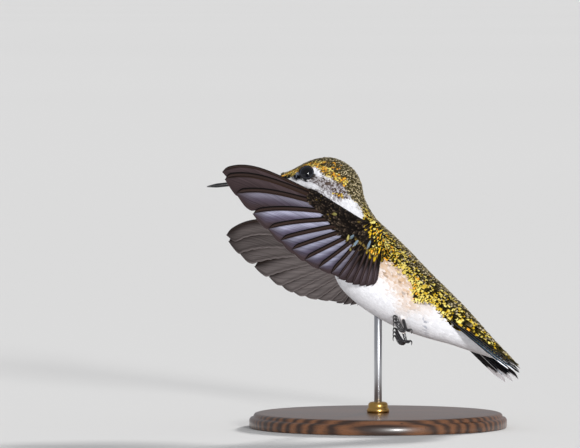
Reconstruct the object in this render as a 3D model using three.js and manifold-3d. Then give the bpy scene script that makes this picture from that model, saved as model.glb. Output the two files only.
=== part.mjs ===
// Female ruby-throated hummingbird, life size, hovering with both wings swept forward, on a display stand.
// Millimetres, +Z up. The bird faces -X and its left side is -Y.
// The origin is the centre of the stand's underside.
import * as THREE from "three";
import { mergeVertices } from "three/addons/utils/BufferGeometryUtils.js";
import Module from "manifold-3d";

const wasm = await Module();
wasm.setup();

const { degToRad, lerp, smoothstep } = THREE.MathUtils;

// ---------------------------------------------------------------- driving dimensions

const GAP = 0.3; // clearance between neighbouring solids
const FLOAT_GAP = 0.1; // clearance between the two halves of the bill
const BANK = 12.5; // degrees that the bird rolls about the fore-and-aft axis, left side up
const BANK_HEIGHT = 33; // height of the roll axis above the floor

// The outline of head and body as stations from bill to tail: the dorsal point and the ventral point as x
// and height over the roll axis, and the half-width.
const STATIONS = [
  [-22.8, 26.8, -22.3, 24.3, 1.3], // bill base
  [-20.9, 27.1, -20.7, 24.0, 1.9], // lores
  [-18.8, 28.1, -18.8, 22.8, 3.3], // brow
  [-16.7, 29.2, -16.7, 21.3, 4.5], // eye
  [-14.4, 30.0, -14.9, 20.0, 5.2], // cheek
  [-11.6, 30.4, -13.3, 18.6, 5.7], // crown
  [-8.5, 29.6, -12.1, 17.0, 5.9], // rear crown
  [-5.7, 27.6, -11.6, 14.9, 5.9], // occiput
  [-3.9, 24.5, -11.4, 12.4, 5.9], // nape
  [-3.0, 20.5, -11.4, 9.5, 6.3], // neck
  [-0.5, 16.0, -10.9, 5.6, 7.1], // shoulders
  [3.3, 12.3, -9.2, 0.5, 7.8], // back
  [7.7, 7.9, -5.3, -3.7, 7.9], // middle
  [12.3, 3.0, 0.0, -7.4, 7.3], // belly
  [16.7, -1.4, 5.6, -10.2, 6.1], // rump
  [20.5, -5.3, 11.4, -12.2, 4.9], // vent
  [24.0, -9.3, 16.7, -13.7, 3.8], // tail coverts
  [27.2, -13.0, 22.3, -15.6, 2.8],
  [30.0, -15.9, 27.2, -17.2, 1.5], // tips of the coverts
];
const STATION_COLUMNS = STATIONS[0].map((_, column) => STATIONS.map((station) => station[column]));
const NECK_FROM = 8;
const TRUNK_FROM = 10;
const COVERTS_FROM = 15;
const BODY_SQUARENESS = 2.15; // exponent of the cross-section: 2 is an ellipse
const BREAST_FULLNESS = -0.08; // how much wider the lower half is than the upper

const EYE = { x: -16.5, y: 3.45, z: 25.8, r: 1.9 };

const BILL = {
  root: [-20.2, 25.7],
  tip: [-39.9, 23.5],
  rootDepth: 0.86,
  rootWidth: 1.0,
  tipRadius: 0.4,
  taper: 2.6, // how fast the base narrows
};

// The spread wing is drawn on its own surface: p runs out along the span and q from the leading edge to
// the trailing edge, both in millimetres from the shoulder joint.
const WING = {
  shoulder: [-1.4, 6.0, 11.7],
  forward: 46.6, // degrees that the span is swept forward of straight out
  raise: 8.7, // degrees that the span is raised
  rightDrop: 1.5, // how much lower the right wing starts
  rightRaise: 1.6, // degrees that it is raised more, about its shoulder
  flank: 8.0, // how close to the middle plane the wing surface may come
  camber: 0.9,
  camberMid: 4,
  camberReach: 9,
};
const PRIMARIES = 10;
const SECONDARIES = 6;
const FEATHER_THICK = 0.5;
const FEATHER_RIDGE = 0.14; // how far each shaft stands proud of the vanes
const FAN_STEPS = 3; // columns of faces to each feather of a fan
const FAN_NOTCH = 0.06; // depth of the notch between two tips, of a feather's length
const ARM_THICK = [1.0, 1.7, 1.6, 1.05]; // half-thickness of the fleshy part, from the body to the wrist
const HAND_THICK = [0.95, 0.5]; // and from the wrist outwards
const ARM_FROM = -2.6;
const HAND_FROM = 4.6;
const HAND_TO = 26;
const WRIST = [3.0, 1.6];
const HAND_TIP = [17.0, -4.0];
const ELBOW = [-1.4, 2.8];
// From the innermost primary to the outermost: the length from its root, and the degrees it points behind
// the span.
const PRIMARY_LENGTHS = [14.3, 16.7, 19.4, 21.9, 23.8, 25.9, 28.8, 31.9, 33.3, 31.8];
const PRIMARY_ANGLES = [54.5, 44.2, 35.8, 29.3, 25.2, 21.0, 15.9, 10.2, 7.0, 6.4];
const SECONDARY_LENGTH = 10.2; // innermost
const SECONDARY_ANGLE = 93.5;
const LEADING_BOW = 2.5; // how far the outermost primary bows forward
const FAN_ENDS = [0.5 - SECONDARIES, 0.5, PRIMARIES + 0.12]; // in feathers: body, wrist and wing tip

const TAIL = {
  root: [12.6, -3.8],
  slope: 37.3, // degrees below level
  central: 24.8, // length of the middle pair of feathers
  longest: 27.0,
  outer: 26.0,
  spread: 21, // degrees of the outermost feather to the side
  bow: 0.4, // outward curve of the feathers, of their reach to the side
  rootStep: 0.36,
  roof: 0.33, // droop of the sides
};
const TAIL_PAIRS = 5;

const LEG = {
  thigh: [4.8, 2.4, -5.4], // inside the belly
  heel: [5.2, 4.3, -6.9],
  foot: [6.4, 5.2, -11.3],
  shankRadii: [0.5, 0.42, 0.38],
  toeRadii: [0.34, 0.3, 0.27],
  clawRadii: [0.26, 0.2, 0.12],
};
const RIGHT_LEG_SHIFT = [0.1, -1.9, -1.3]; // the right foot hangs lower and closer in
// Joints of the inner front toe and claw from the foot, each with its share of the drop to the next toe.
const FRONT_TOE = [[-0.7, 0.1, 0.1, 0.3], [-1.6, 0.4, 1.5, 0.9], [-2.35, 0.6, 3.2, 1]];
const FRONT_CLAW = [[-2.8, 0.6, 3.25, 1], [-2.9, 0.7, 2.0, 1]];
const TOE_SIDE_STEP = 0.3;
const TOE_DROP_STEP = 0.85;
const HIND_TOE = [[0.5, -0.1, -0.1, 0], [0.9, -0.1, 0.2, 0]];
const HIND_CLAW = [[1.25, -0.1, 0.1, 0], [1.2, -0.1, -0.9, 0]];

const BASE = { r: 30, h: 3.5, chamfer: 0.8, recess: 1.0 };
const ROD = { r: 0.9, into: 3.0, bottom: 1.3 };
const COLLAR = { r: 2.6, h: 2.2, chamfer: 0.5 };
const ROD_STATION = 12.98; // station of the belly that the rod enters

// ---------------------------------------------------------------- materials

const material = (color, roughness, metalness = 0) =>
  new THREE.MeshStandardMaterial({ color, roughness, metalness });
const GREEN = material(0x8a7a2c, 0.45, 0.35);
const HEAD_GREEN = material(0x7d7148, 0.55, 0.2);
const WHITE = material(0xe8e4dc, 0.8);
const WING_BROWN = material(0x4b4048, 0.5, 0.15);
const COVERT_BROWN = material(0x3a3024, 0.6, 0.1);
const TAIL_BLACK = material(0x23262a, 0.5, 0.1);
const HORN = material(0x121214, 0.35);
const EYE_BLACK = material(0x05060a, 0.05);
const WALNUT = material(0x3a2416, 0.4);
const STEEL = material(0xb8bbc0, 0.3, 1);
const BRASS = material(0xb8924a, 0.3, 1);

// ---------------------------------------------------------------- solids from points

const vec = (x, y, z) => new THREE.Vector3(x, y, z);

/** A closed solid from points and triangles, turned to face out. */
function solid(points, triangles) {
  const flat = new THREE.BufferGeometry().setFromPoints(points);
  flat.setIndex(triangles.flat());
  const merged = mergeVertices(flat, 1e-4);
  const index = new Uint32Array(merged.index.array);
  const kept = [];
  for (let i = 0; i < index.length; i += 3) {
    const [a, b, c] = index.subarray(i, i + 3);
    if (a !== b && b !== c && a !== c) kept.push(a, b, c);
  }
  const build = (triVerts) =>
    new wasm.Manifold(
      new wasm.Mesh({ numProp: 3, vertProperties: merged.attributes.position.array, triVerts }),
    );
  const made = build(new Uint32Array(kept));
  if (made.volume() > 0) return made;
  for (let i = 0; i < kept.length; i += 3) [kept[i], kept[i + 1]] = [kept[i + 1], kept[i]];
  return build(new Uint32Array(kept));
}

/** A closed solid from an indexed three.js geometry. */
function solidFrom(geometry) {
  const { position } = geometry.attributes;
  const points = Array.from({ length: position.count }, (_, i) => vec().fromBufferAttribute(position, i));
  return solid(points, Array.from(geometry.index.array));
}

/** A solid through closed rings of equally many points, with a flat cap on each end. */
function loft(rings) {
  const sides = rings[0].length;
  const points = rings.flat();
  const triangles = [];
  for (let r = 0; r + 1 < rings.length; r++) {
    for (let k = 0; k < sides; k++) {
      const a = r * sides + k;
      const b = r * sides + ((k + 1) % sides);
      triangles.push([a, b, a + sides], [b, b + sides, a + sides]);
    }
  }
  for (const [ring, first] of [[0, false], [rings.length - 1, true]]) {
    const centre = rings[ring].reduce((sum, p) => sum.add(p), vec(0, 0, 0)).divideScalar(sides);
    points.push(centre);
    for (let k = 0; k < sides; k++) {
      const a = ring * sides + k;
      const b = ring * sides + ((k + 1) % sides);
      triangles.push(first ? [a, b, points.length - 1] : [b, a, points.length - 1]);
    }
  }
  return solid(points, triangles);
}

/** A plate: at(i, j, side) gives the point of column i and row j on its upper (1) or lower (-1) face. */
function plate(columns, rows, at) {
  const points = [];
  const triangles = [];
  for (const side of [1, -1]) {
    for (let i = 0; i <= columns; i++) {
      for (let j = 0; j <= rows; j++) points.push(at(i, j, side));
    }
  }
  const lower = (columns + 1) * (rows + 1);
  const id = (i, j) => i * (rows + 1) + j;
  for (let i = 0; i < columns; i++) {
    for (let j = 0; j < rows; j++) {
      const [a, b, c, d] = [id(i, j), id(i + 1, j), id(i + 1, j + 1), id(i, j + 1)];
      triangles.push([a, b, c], [a, c, d]);
      triangles.push([lower + a, lower + c, lower + b], [lower + a, lower + d, lower + c]);
    }
  }
  const rim = [];
  for (let i = 0; i < columns; i++) rim.push(id(i, 0));
  for (let j = 0; j < rows; j++) rim.push(id(columns, j));
  for (let i = columns; i > 0; i--) rim.push(id(i, rows));
  for (let j = rows; j > 0; j--) rim.push(id(0, j));
  rim.forEach((a, k) => {
    const b = rim[(k + 1) % rim.length];
    triangles.push([a, lower + b, b], [a, lower + a, lower + b]);
  });
  return solid(points, triangles);
}

/** A tapering round rod along a smooth curve through the points. */
function taperedRod(through, radii, sides = 6, steps = 4) {
  const curve = new THREE.CatmullRomCurve3(through.map((p) => vec(...p)));
  const frames = curve.computeFrenetFrames(steps);
  const rings = [];
  for (let i = 0; i <= steps; i++) {
    const t = i / steps;
    const centre = curve.getPointAt(t);
    const r = interpolate(radii, t * (radii.length - 1));
    const ring = [];
    for (let k = 0; k < sides; k++) {
      const angle = (2 * Math.PI * k) / sides;
      ring.push(
        centre
          .clone()
          .addScaledVector(frames.normals[i], r * Math.cos(angle))
          .addScaledVector(frames.binormals[i], r * Math.sin(angle)),
      );
    }
    rings.push(ring);
  }
  return loft(rings);
}

/** Straight-line interpolation in a list of numbers. */
function interpolate(list, s) {
  const i = Math.min(list.length - 2, Math.floor(s));
  return lerp(list[i], list[i + 1], s - i);
}

/** A smooth Catmull-Rom curve through a list of numbers, continued straight past its ends. */
function smooth(list, s) {
  const last = list.length - 1;
  const i = Math.max(0, Math.min(last - 1, Math.floor(s)));
  const t = s - i;
  const value = (k) => {
    if (k < 0) return 2 * list[0] - list[1];
    return k > last ? 2 * list[last] - list[last - 1] : list[k];
  };
  const [a, b, c, d] = [value(i - 1), value(i), value(i + 1), value(i + 2)];
  const bend = 2 * a - 5 * b + 4 * c - d;
  const twist = 3 * b - a - 3 * c + d;
  return 0.5 * (2 * b + (c - a) * t + bend * t ** 2 + twist * t ** 3);
}

const largest = (manifold) =>
  manifold.decompose().reduce((best, piece) => (piece.volume() > best.volume() ? piece : best));

// ---------------------------------------------------------------- head and body

/** The cross-section at station s: its centre, its upward direction, half-depth and half-width. */
function section(s) {
  const [tx, tz, bx, bz, width] = STATION_COLUMNS.map((column) => smooth(column, s));
  const up = vec(tx - bx, 0, tz - bz).multiplyScalar(0.5);
  const depth = up.length();
  return { centre: vec((tx + bx) / 2, 0, (tz + bz) / 2), up: up.normalize(), depth, width };
}

/** A point of the coat's surface: angle 0 is the back's midline and 90 degrees the right side. */
function bodyPoint(s, angle, grow = 0) {
  const { centre, up, depth, width } = section(s);
  const rounded = (v) => Math.sign(v) * Math.abs(v) ** (2 / BODY_SQUARENESS);
  const high = rounded(Math.cos(angle));
  const wide = rounded(Math.sin(angle)) * (1 + BREAST_FULLNESS * high);
  return centre.addScaledVector(up, (depth + grow) * high).add(vec(0, (width + grow) * wide, 0));
}

function bodySolid(grow = 0) {
  const sides = 22;
  const rings = [];
  for (let s = 0; s <= STATIONS.length - 1; s += 0.5) {
    const ring = [];
    for (let k = 0; k < sides; k++) ring.push(bodyPoint(s, (2 * Math.PI * k) / sides, grow));
    rings.push(ring);
  }
  return loft(rings);
}

/** A solid's part on the tail side (1) or bill side (-1) of the cross-section at s, less half a gap. */
function cutAt(manifold, s, side) {
  const { centre, up } = section(s);
  const normal = vec(up.z, 0, -up.x).multiplyScalar(side);
  return manifold.trimByPlane(normal.toArray(), normal.dot(centre) + GAP / 2);
}

const between = (manifold, from, to) => {
  const front = from === null ? manifold : cutAt(manifold, from, 1);
  return to === null ? front : cutAt(front, to, -1);
};

function eyeball(grow = 0) {
  const sphere = new THREE.SphereGeometry(EYE.r + grow, 14, 10);
  sphere.deleteAttribute("normal");
  sphere.deleteAttribute("uv");
  sphere.translate(EYE.x, EYE.y, EYE.z);
  return solidFrom(sphere);
}

/** The upper (half = 1) or lower (-1) half of the bill: a half-round section that tapers to the tip. */
function mandible(half, grow = 0) {
  const steps = 10;
  const arc = 8;
  const [rootX, rootZ] = BILL.root;
  const axis = vec(BILL.tip[0] - rootX, 0, BILL.tip[1] - rootZ);
  const up = vec(-axis.z, 0, axis.x).normalize().multiplyScalar(-half);
  const rings = [];
  for (let i = 0; i <= steps; i++) {
    const t = i / steps;
    const taper = Math.exp(-BILL.taper * t);
    const end = Math.sqrt(Math.max(0.08, 1 - Math.max(0, (t - 0.9) / 0.1) ** 2));
    const depth = lerp(BILL.tipRadius, BILL.rootDepth, taper) * end + 2 * grow;
    const width = lerp(BILL.tipRadius, BILL.rootWidth, taper) * end + grow;
    const reach = i === 0 ? -grow / axis.length() : t;
    const centre = vec(rootX, 0, rootZ).addScaledVector(axis, reach);
    centre.addScaledVector(up, FLOAT_GAP / 2 - grow);
    const ring = [];
    for (let k = 0; k <= arc; k++) {
      const angle = (Math.PI * k) / arc;
      const across = vec(0, width * Math.cos(angle), 0);
      ring.push(centre.clone().add(across).addScaledVector(up, depth * Math.sin(angle)));
    }
    rings.push(ring);
  }
  return loft(rings);
}

// ---------------------------------------------------------------- wings

const span = vec(
  -Math.sin(degToRad(WING.forward)) * Math.cos(degToRad(WING.raise)),
  Math.cos(degToRad(WING.forward)) * Math.cos(degToRad(WING.raise)),
  Math.sin(degToRad(WING.raise)),
);
const chord = vec(0, 0, -1).addScaledVector(span, span.z).normalize();
const dorsal = span.clone().cross(chord).negate(); // faces out and back on the right wing

/** A point of the right wing's middle surface. It turns to lie along the flank beside the body. */
function wingSheet(p, q) {
  const point = vec(...WING.shoulder).addScaledVector(span, p).addScaledVector(chord, q);
  point.y = WING.flank + Math.log1p(Math.exp(point.y - WING.flank));
  const arch = WING.camber * (1 - ((q - WING.camberMid) / WING.camberReach) ** 2);
  return point.addScaledVector(dorsal, arch);
}

/** A point at a height over the wing's middle surface, towards the dorsal side. */
function wingPoint(p, q, height) {
  const step = 0.05;
  const point = wingSheet(p, q);
  const outward = wingSheet(p + step, q).sub(point);
  const back = wingSheet(p, q + step).sub(point);
  return point.addScaledVector(back.cross(outward).normalize(), height);
}

/**
 * The shaft of a flight feather on the wing's surface as [p, q], at u from its root (0) to its tip (1).
 * a counts the feathers: 1 to 10 are the primaries, and 0 down to -5 the secondaries.
 */
function shaft(a, u) {
  const t = (a - 1) / (PRIMARIES - 1);
  const v = (1 - a) / SECONDARIES;
  const isPrimary = a >= 1;
  const along = isPrimary ? t ** 1.6 : v;
  const end = isPrimary ? HAND_TIP : ELBOW;
  const root = [lerp(WRIST[0], end[0], along), lerp(WRIST[1], end[1], along)];
  const size = (primaries, last) => (isPrimary ? smooth(primaries, a - 1) : lerp(primaries[0], last, v));
  const length = size(PRIMARY_LENGTHS, SECONDARY_LENGTH);
  const angle = degToRad(size(PRIMARY_ANGLES, SECONDARY_ANGLE));
  const bow = isPrimary ? LEADING_BOW * t ** 3 : 0;
  const arc = bow * (27 / 4) * u * u * (1 - u);
  return [
    root[0] + u * length * Math.cos(angle) + arc * Math.sin(angle),
    root[1] + u * length * Math.sin(angle) - arc * Math.cos(angle),
  ];
}

/** A fan of overlapping feathers between two places, with a scalloped edge and proud shafts. */
function featherFan(from, to, shaftAt, liftAt, rows) {
  const places = [from];
  for (let k = Math.floor(from * FAN_STEPS) + 1; k / FAN_STEPS < to; k++) places.push(k / FAN_STEPS);
  places.push(to);
  const columns = places.length - 1;
  return plate(columns, rows, (i, j, side) => {
    const a = places[i];
    const off = Math.abs(a - Math.round(a)) * 2; // 0 on a shaft, 1 between two feathers
    const u = (j / rows) * (1 - FAN_NOTCH * off * off);
    const inset = (i === 0 ? 1 : i === columns ? -1 : 0) * (GAP / 2);
    const [p, q] = shaftAt(a, u);
    const [nextP, nextQ] = shaftAt(a + 0.01, u);
    const share = inset / (Math.hypot(nextP - p, nextQ - q) || 1);
    const ridge = side > 0 ? FEATHER_RIDGE * (1 - off) : 0;
    const height = (side * FEATHER_THICK) / 2 + ridge;
    return liftAt(lerp(p, nextP, share), lerp(q, nextQ, share), height);
  });
}

const leadingEdge = (p) => Math.max(-0.85 - 0.18 * p, -4.3);
const covertEdge = (p) => Math.min(3.6, 3.3 - 0.38 * (p - 7));

/** The covert-clad front of the wing between two places along the span; thick lists half-thicknesses. */
function wingFlesh(from, to, thick, grow = 0) {
  const columns = Math.round((to - from) / 2.2);
  const rows = 4;
  return plate(columns, rows, (i, j, side) => {
    const p = lerp(from - grow, to + grow, i / columns);
    const v = j / rows;
    const front = leadingEdge(p) - grow;
    const back = Math.max(covertEdge(p), leadingEdge(p) + 0.5) + grow;
    const middle = interpolate(thick, (i / columns) * (thick.length - 1));
    const half = middle * (0.35 + 0.65 * Math.sin(Math.PI * v ** 0.75)) + grow;
    return wingPoint(p, lerp(front, back, v), side * half);
  });
}

/** The right wing's solids before the body's room is cut from them. */
function wingSolids() {
  const arm = wingFlesh(ARM_FROM, HAND_FROM - GAP, ARM_THICK);
  const hand = wingFlesh(HAND_FROM, HAND_TO, HAND_THICK);
  const armRoom = wingFlesh(ARM_FROM, HAND_FROM, ARM_THICK, GAP);
  const room = wingFlesh(HAND_FROM, HAND_TO, HAND_THICK, GAP).add(armRoom);
  const [body, wrist, tip] = FAN_ENDS;
  const primaries = featherFan(wrist, tip, shaft, wingPoint, 4).subtract(room);
  const secondaries = featherFan(body, wrist, shaft, wingPoint, 3).subtract(room);
  return { arm, hand, primaries, secondaries };
}

/** Turns the right wing about its shoulder, along its own blade, and lowers it. */
function settleRightWing(manifold) {
  const [x, y, z] = WING.shoulder;
  const turn = new THREE.Matrix4().makeRotationAxis(dorsal, degToRad(WING.rightRaise));
  const settled = new THREE.Matrix4()
    .makeTranslation(x, y, z - WING.rightDrop)
    .multiply(turn)
    .multiply(new THREE.Matrix4().makeTranslation(-x, -y, -z));
  return manifold.transform(settled.elements);
}

// ---------------------------------------------------------------- tail

const tailAxis = vec(Math.cos(degToRad(TAIL.slope)), 0, -Math.sin(degToRad(TAIL.slope)));
const tailUp = vec(-tailAxis.z, 0, tailAxis.x);

/** The shaft of a tail feather as [along, across]; c is -4.5 to 4.5 from the left to the right. */
function tailShaft(c, u) {
  const side = Math.abs(c) / (TAIL_PAIRS - 0.5);
  const toLongest = smoothstep(side, 0, 0.6);
  const toOuter = smoothstep(side, 0.6, 1);
  const length = lerp(lerp(TAIL.central, TAIL.longest, toLongest), TAIL.outer, toOuter);
  const angle = degToRad((TAIL.spread * c) / (TAIL_PAIRS - 0.5));
  const bowed = u * (1 + TAIL.bow * (0.75 - u));
  return [u * length * Math.cos(angle), c * TAIL.rootStep + bowed * length * Math.sin(angle)];
}

function tailPoint(along, across, height) {
  const droop = TAIL.roof * (Math.hypot(across, 1.2) - 1.2);
  return vec(TAIL.root[0], 0, TAIL.root[1])
    .addScaledVector(tailAxis, along)
    .addScaledVector(tailUp, height - droop)
    .add(vec(0, across, 0));
}

function tailFan() {
  const halfFeather = (c, u) => tailShaft(c - 0.5, u);
  return featherFan(0.6 - TAIL_PAIRS, TAIL_PAIRS + 0.4, halfFeather, tailPoint, 4);
}

/** A slab around the tail feathers' roots that parts the upper tail coverts from the lower ones. */
function tailSlot() {
  const half = FEATHER_THICK / 2 + GAP;
  const [length, reach, columns, rows] = [30, 12, 16, 6];
  return plate(columns, rows, (i, j, side) => {
    const height = side > 0 ? half + FEATHER_RIDGE : -half;
    return tailPoint(lerp(0, length, j / rows), lerp(-reach, reach, i / columns), height);
  });
}

// ---------------------------------------------------------------- legs

/** The left leg: the shank, three toes curled up and forward and the hind toe, each with its claw. */
function leftLeg(shift) {
  const fromFoot = (dx, dy, dz) => [
    LEG.foot[0] + dx + shift[0],
    -(LEG.foot[1] + dy + shift[1]),
    LEG.foot[2] + dz + shift[2],
  ];
  const corner = (point) => fromFoot(...point.map((value, axis) => value - LEG.foot[axis]));
  let made = taperedRod([LEG.thigh, LEG.heel, LEG.foot].map(corner), LEG.shankRadii);
  const addToe = (joints, claw, k) => {
    const place = ([dx, dy, dz, drop]) =>
      fromFoot(dx, dy + k * TOE_SIDE_STEP, dz - k * TOE_DROP_STEP * drop);
    made = made.add(taperedRod([fromFoot(-0.1, 0, 0.1), ...joints.map(place)], LEG.toeRadii, 6, 3));
    made = made.add(taperedRod([place(joints.at(-1)), ...claw.map(place)], LEG.clawRadii, 5, 3));
  };
  for (const k of [0, 1, 2]) addToe(FRONT_TOE, FRONT_CLAW, k);
  addToe(HIND_TOE, HIND_CLAW, 0);
  return made;
}

// ---------------------------------------------------------------- stand

/** A turned solid: the profile is a list of [radius, height] and closes on the axis. */
function turned(profile, sides) {
  const lathe = new THREE.LatheGeometry(profile.map(([r, h]) => new THREE.Vector2(r, h)), sides);
  lathe.deleteAttribute("normal");
  lathe.deleteAttribute("uv");
  lathe.rotateX(Math.PI / 2);
  return solidFrom(lathe);
}

function standBase() {
  const { r, h, chamfer, recess } = BASE;
  const socket = ROD.r + GAP;
  const outside = [[0, 0], [r, 0], [r, h - chamfer], [r - chamfer, h]];
  const hole = [[socket, h], [socket, recess], [0, recess]];
  return turned([...outside, ...hole], 36);
}

function standRod(top, grow = 0) {
  const r = ROD.r + grow;
  return turned([[0, ROD.bottom], [r, ROD.bottom], [r, top], [0, top]], 16);
}

function standCollar() {
  const { r, h, chamfer } = COLLAR;
  const inner = ROD.r + GAP;
  const low = BASE.h + GAP;
  const high = low + h;
  const outside = [[r, low], [r, high - chamfer], [r - chamfer, high]];
  return turned([[inner, low], ...outside, [inner, high], [inner, low]], 18);
}

// ---------------------------------------------------------------- the model

const bird = new THREE.Group();
bird.position.z = BANK_HEIGHT;
bird.rotation.x = -degToRad(BANK);
bird.updateMatrixWorld(true);
const stand = new THREE.Group();
const model = new THREE.Group();
model.add(bird, stand);

/** Adds a solid to a group as a named mesh. */
function place(group, name, manifold, look) {
  const { vertProperties, triVerts } = manifold.getMesh();
  const geometry = new THREE.BufferGeometry();
  geometry.setAttribute("position", new THREE.BufferAttribute(vertProperties, 3));
  geometry.setIndex(new THREE.BufferAttribute(triVerts, 1));
  const mesh = new THREE.Mesh(geometry, look);
  mesh.name = name;
  group.add(mesh);
}

const mirrored = (manifold) => manifold.mirror([0, 1, 0]);

const body = bodySolid();
const bodyRoom = bodySolid(GAP);
const bellyHeight = bodyPoint(ROD_STATION, Math.PI).z + BANK_HEIGHT;
const rodTop = bellyHeight + ROD.into;
const intoBird = bird.matrixWorld.clone().invert();
const rodRoom = standRod(rodTop + GAP, GAP).transform(intoBird.elements);

const eyeRoom = eyeball(GAP).add(mirrored(eyeball(GAP)));
const billRoom = mandible(1, GAP).add(mandible(-1, GAP));
const head = between(body, null, NECK_FROM).subtract(eyeRoom).subtract(billRoom);
place(bird, "head", head, HEAD_GREEN);
place(bird, "neck", between(body, NECK_FROM, TRUNK_FROM), HEAD_GREEN);
place(bird, "trunk", between(body, TRUNK_FROM, COVERTS_FROM).subtract(rodRoom), WHITE);
place(bird, "bill_upper", mandible(1), HORN);
place(bird, "bill_lower", mandible(-1), HORN);
place(bird, "eye_left", mirrored(eyeball()), EYE_BLACK);
place(bird, "eye_right", eyeball(), EYE_BLACK);

const coverts = cutAt(body, COVERTS_FROM, 1).subtract(tailSlot()).decompose();
coverts.sort((a, b) => b.boundingBox().max[2] - a.boundingBox().max[2]);
place(bird, "tail_coverts_upper", coverts[0], GREEN);
place(bird, "tail_coverts_lower", coverts[1], WHITE);
place(bird, "tail", largest(cutAt(tailFan(), COVERTS_FROM, 1)), TAIL_BLACK);

const wingLook = {
  arm: COVERT_BROWN,
  hand: COVERT_BROWN,
  primaries: WING_BROWN,
  secondaries: WING_BROWN,
};
for (const [part, right] of Object.entries(wingSolids())) {
  const inPlace = { left: mirrored(right), right: settleRightWing(right) };
  for (const [side, piece] of Object.entries(inPlace)) {
    place(bird, `wing_${side}_${part}`, largest(piece.subtract(bodyRoom)), wingLook[part]);
  }
}

const legs = { left: leftLeg([0, 0, 0]), right: mirrored(leftLeg(RIGHT_LEG_SHIFT)) };
for (const [side, whole] of Object.entries(legs)) {
  place(bird, `leg_${side}`, largest(whole.subtract(bodyRoom)), HORN);
}

place(stand, "stand_base", standBase(), WALNUT);
place(stand, "stand_rod", standRod(rodTop), STEEL);
place(stand, "stand_collar", standCollar(), BRASS);

export default model;
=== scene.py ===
"""Female ruby-throated hummingbird, life size, hovering on a display stand.

Shapes are worked out in millimetres in the bird's own frame: the bill points along -X, the left side is
towards -Y and z is the height over the roll axis. to_world turns them into the row's frame, in metres."""

import math
from functools import partial

import bpy
import numpy as np
from mathutils import Matrix, Vector
from mathutils.kdtree import KDTree


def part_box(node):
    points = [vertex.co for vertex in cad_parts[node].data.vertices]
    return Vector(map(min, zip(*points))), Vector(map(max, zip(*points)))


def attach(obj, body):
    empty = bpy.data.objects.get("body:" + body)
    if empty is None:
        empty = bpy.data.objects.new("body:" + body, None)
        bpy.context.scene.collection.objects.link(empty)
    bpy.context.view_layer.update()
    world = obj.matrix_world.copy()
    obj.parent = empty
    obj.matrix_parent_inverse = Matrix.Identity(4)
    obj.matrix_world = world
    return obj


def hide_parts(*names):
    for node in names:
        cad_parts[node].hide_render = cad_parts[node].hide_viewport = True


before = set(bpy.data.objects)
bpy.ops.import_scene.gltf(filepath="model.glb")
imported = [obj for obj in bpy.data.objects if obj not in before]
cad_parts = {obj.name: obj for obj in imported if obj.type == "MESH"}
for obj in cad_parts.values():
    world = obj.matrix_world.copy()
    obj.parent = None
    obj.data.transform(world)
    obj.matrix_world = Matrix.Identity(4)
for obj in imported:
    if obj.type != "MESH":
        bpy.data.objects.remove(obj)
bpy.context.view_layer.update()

MM = 0.001
rng = np.random.default_rng(11)

# ---- dimensions

BANK = math.radians(12.5)  # roll about the fore-and-aft axis, left side up
BANK_HEIGHT = 33.0  # of the roll axis over the floor

# Head and body from bill to tail: the dorsal point and the ventral point as x and height, and the half-width.
STATIONS = np.array([
    [-22.8, 26.8, -22.3, 24.3, 1.3],  # 0 bill base
    [-20.9, 27.1, -20.7, 24.0, 1.9],  # 1 lores
    [-18.8, 28.1, -18.8, 22.8, 3.3],  # 2 brow
    [-16.7, 29.2, -16.7, 21.3, 4.5],  # 3 eye
    [-14.4, 30.0, -14.9, 20.0, 5.2],  # 4 cheek
    [-11.6, 30.4, -13.3, 18.6, 5.7],  # 5 crown
    [-8.5, 29.6, -12.1, 17.0, 5.9],  # 6 rear crown
    [-5.7, 27.6, -11.6, 14.9, 5.9],  # 7 occiput
    [-3.9, 24.5, -11.4, 12.4, 5.9],  # 8 nape
    [-3.0, 20.5, -11.4, 9.5, 6.3],  # 9 neck
    [-0.5, 16.0, -10.9, 5.6, 7.1],  # 10 shoulders
    [3.3, 12.3, -9.2, 0.5, 7.8],  # 11 back
    [7.7, 7.9, -5.3, -3.7, 7.9],  # 12 middle
    [12.3, 3.0, 0.0, -7.4, 7.3],  # 13 belly
    [16.7, -1.4, 5.6, -10.2, 6.1],  # 14 rump
    [20.5, -5.3, 11.4, -12.2, 4.9],  # 15 vent
    [24.0, -9.3, 16.7, -13.7, 3.8],  # 16 tail coverts
    [27.2, -13.0, 22.3, -15.6, 2.8],  # 17
    [30.0, -15.9, 27.2, -17.2, 1.5],  # 18 tips of the coverts
])
LAST = len(STATIONS) - 1
BODY_SQUARENESS = 2.15  # 2 is an ellipse and more is squarer
BREAST_FULLNESS = -0.08  # below 0 the body is widest under its middle
COAT_DEPTH = 0.55  # from the skin to the outside of the plumage

EYE = {"at": (-16.5, 3.45, 25.8), "r": 1.9}

BILL = {"root": (-20.2, 25.7), "tip": (-39.9, 23.5), "depth": 0.86, "width": 1.0, "tip_radius": 0.4}

# Places on a wing are p, out along the span from the shoulder, and q, from front to back.
SHOULDER = np.array([-1.4, 6.0, 11.7])
FORWARD = math.radians(46.6)  # sweep of the wings towards the bill
RAISE = math.radians(8.7)  # rise of the wings towards their tips
RIGHT_DROP = 1.5  # how far the right wing hangs below the left one
RIGHT_RAISE = math.radians(1.6)
FLANK = 8.0  # the wings' roots bend along the body at this distance from its middle plane
CAMBER = 0.9  # height of the wing's arch
CAMBER_MID = 4.0  # q of the arch's top
CAMBER_REACH = 9.0  # from there to where the arch comes down to 0
PRIMARIES = 10
SECONDARIES = 6
WRIST = np.array([3.0, 1.6])
HAND_TIP = np.array([17.0, -4.0])
ELBOW = np.array([-1.4, 2.8])
ROOT_CROWDING = 1.6  # above 1 the primaries' roots are closer together near the wrist
PRIMARY_LENGTHS = [14.3, 16.7, 19.4, 21.9, 23.8, 25.9, 28.8, 31.9, 33.3, 31.8]
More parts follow.
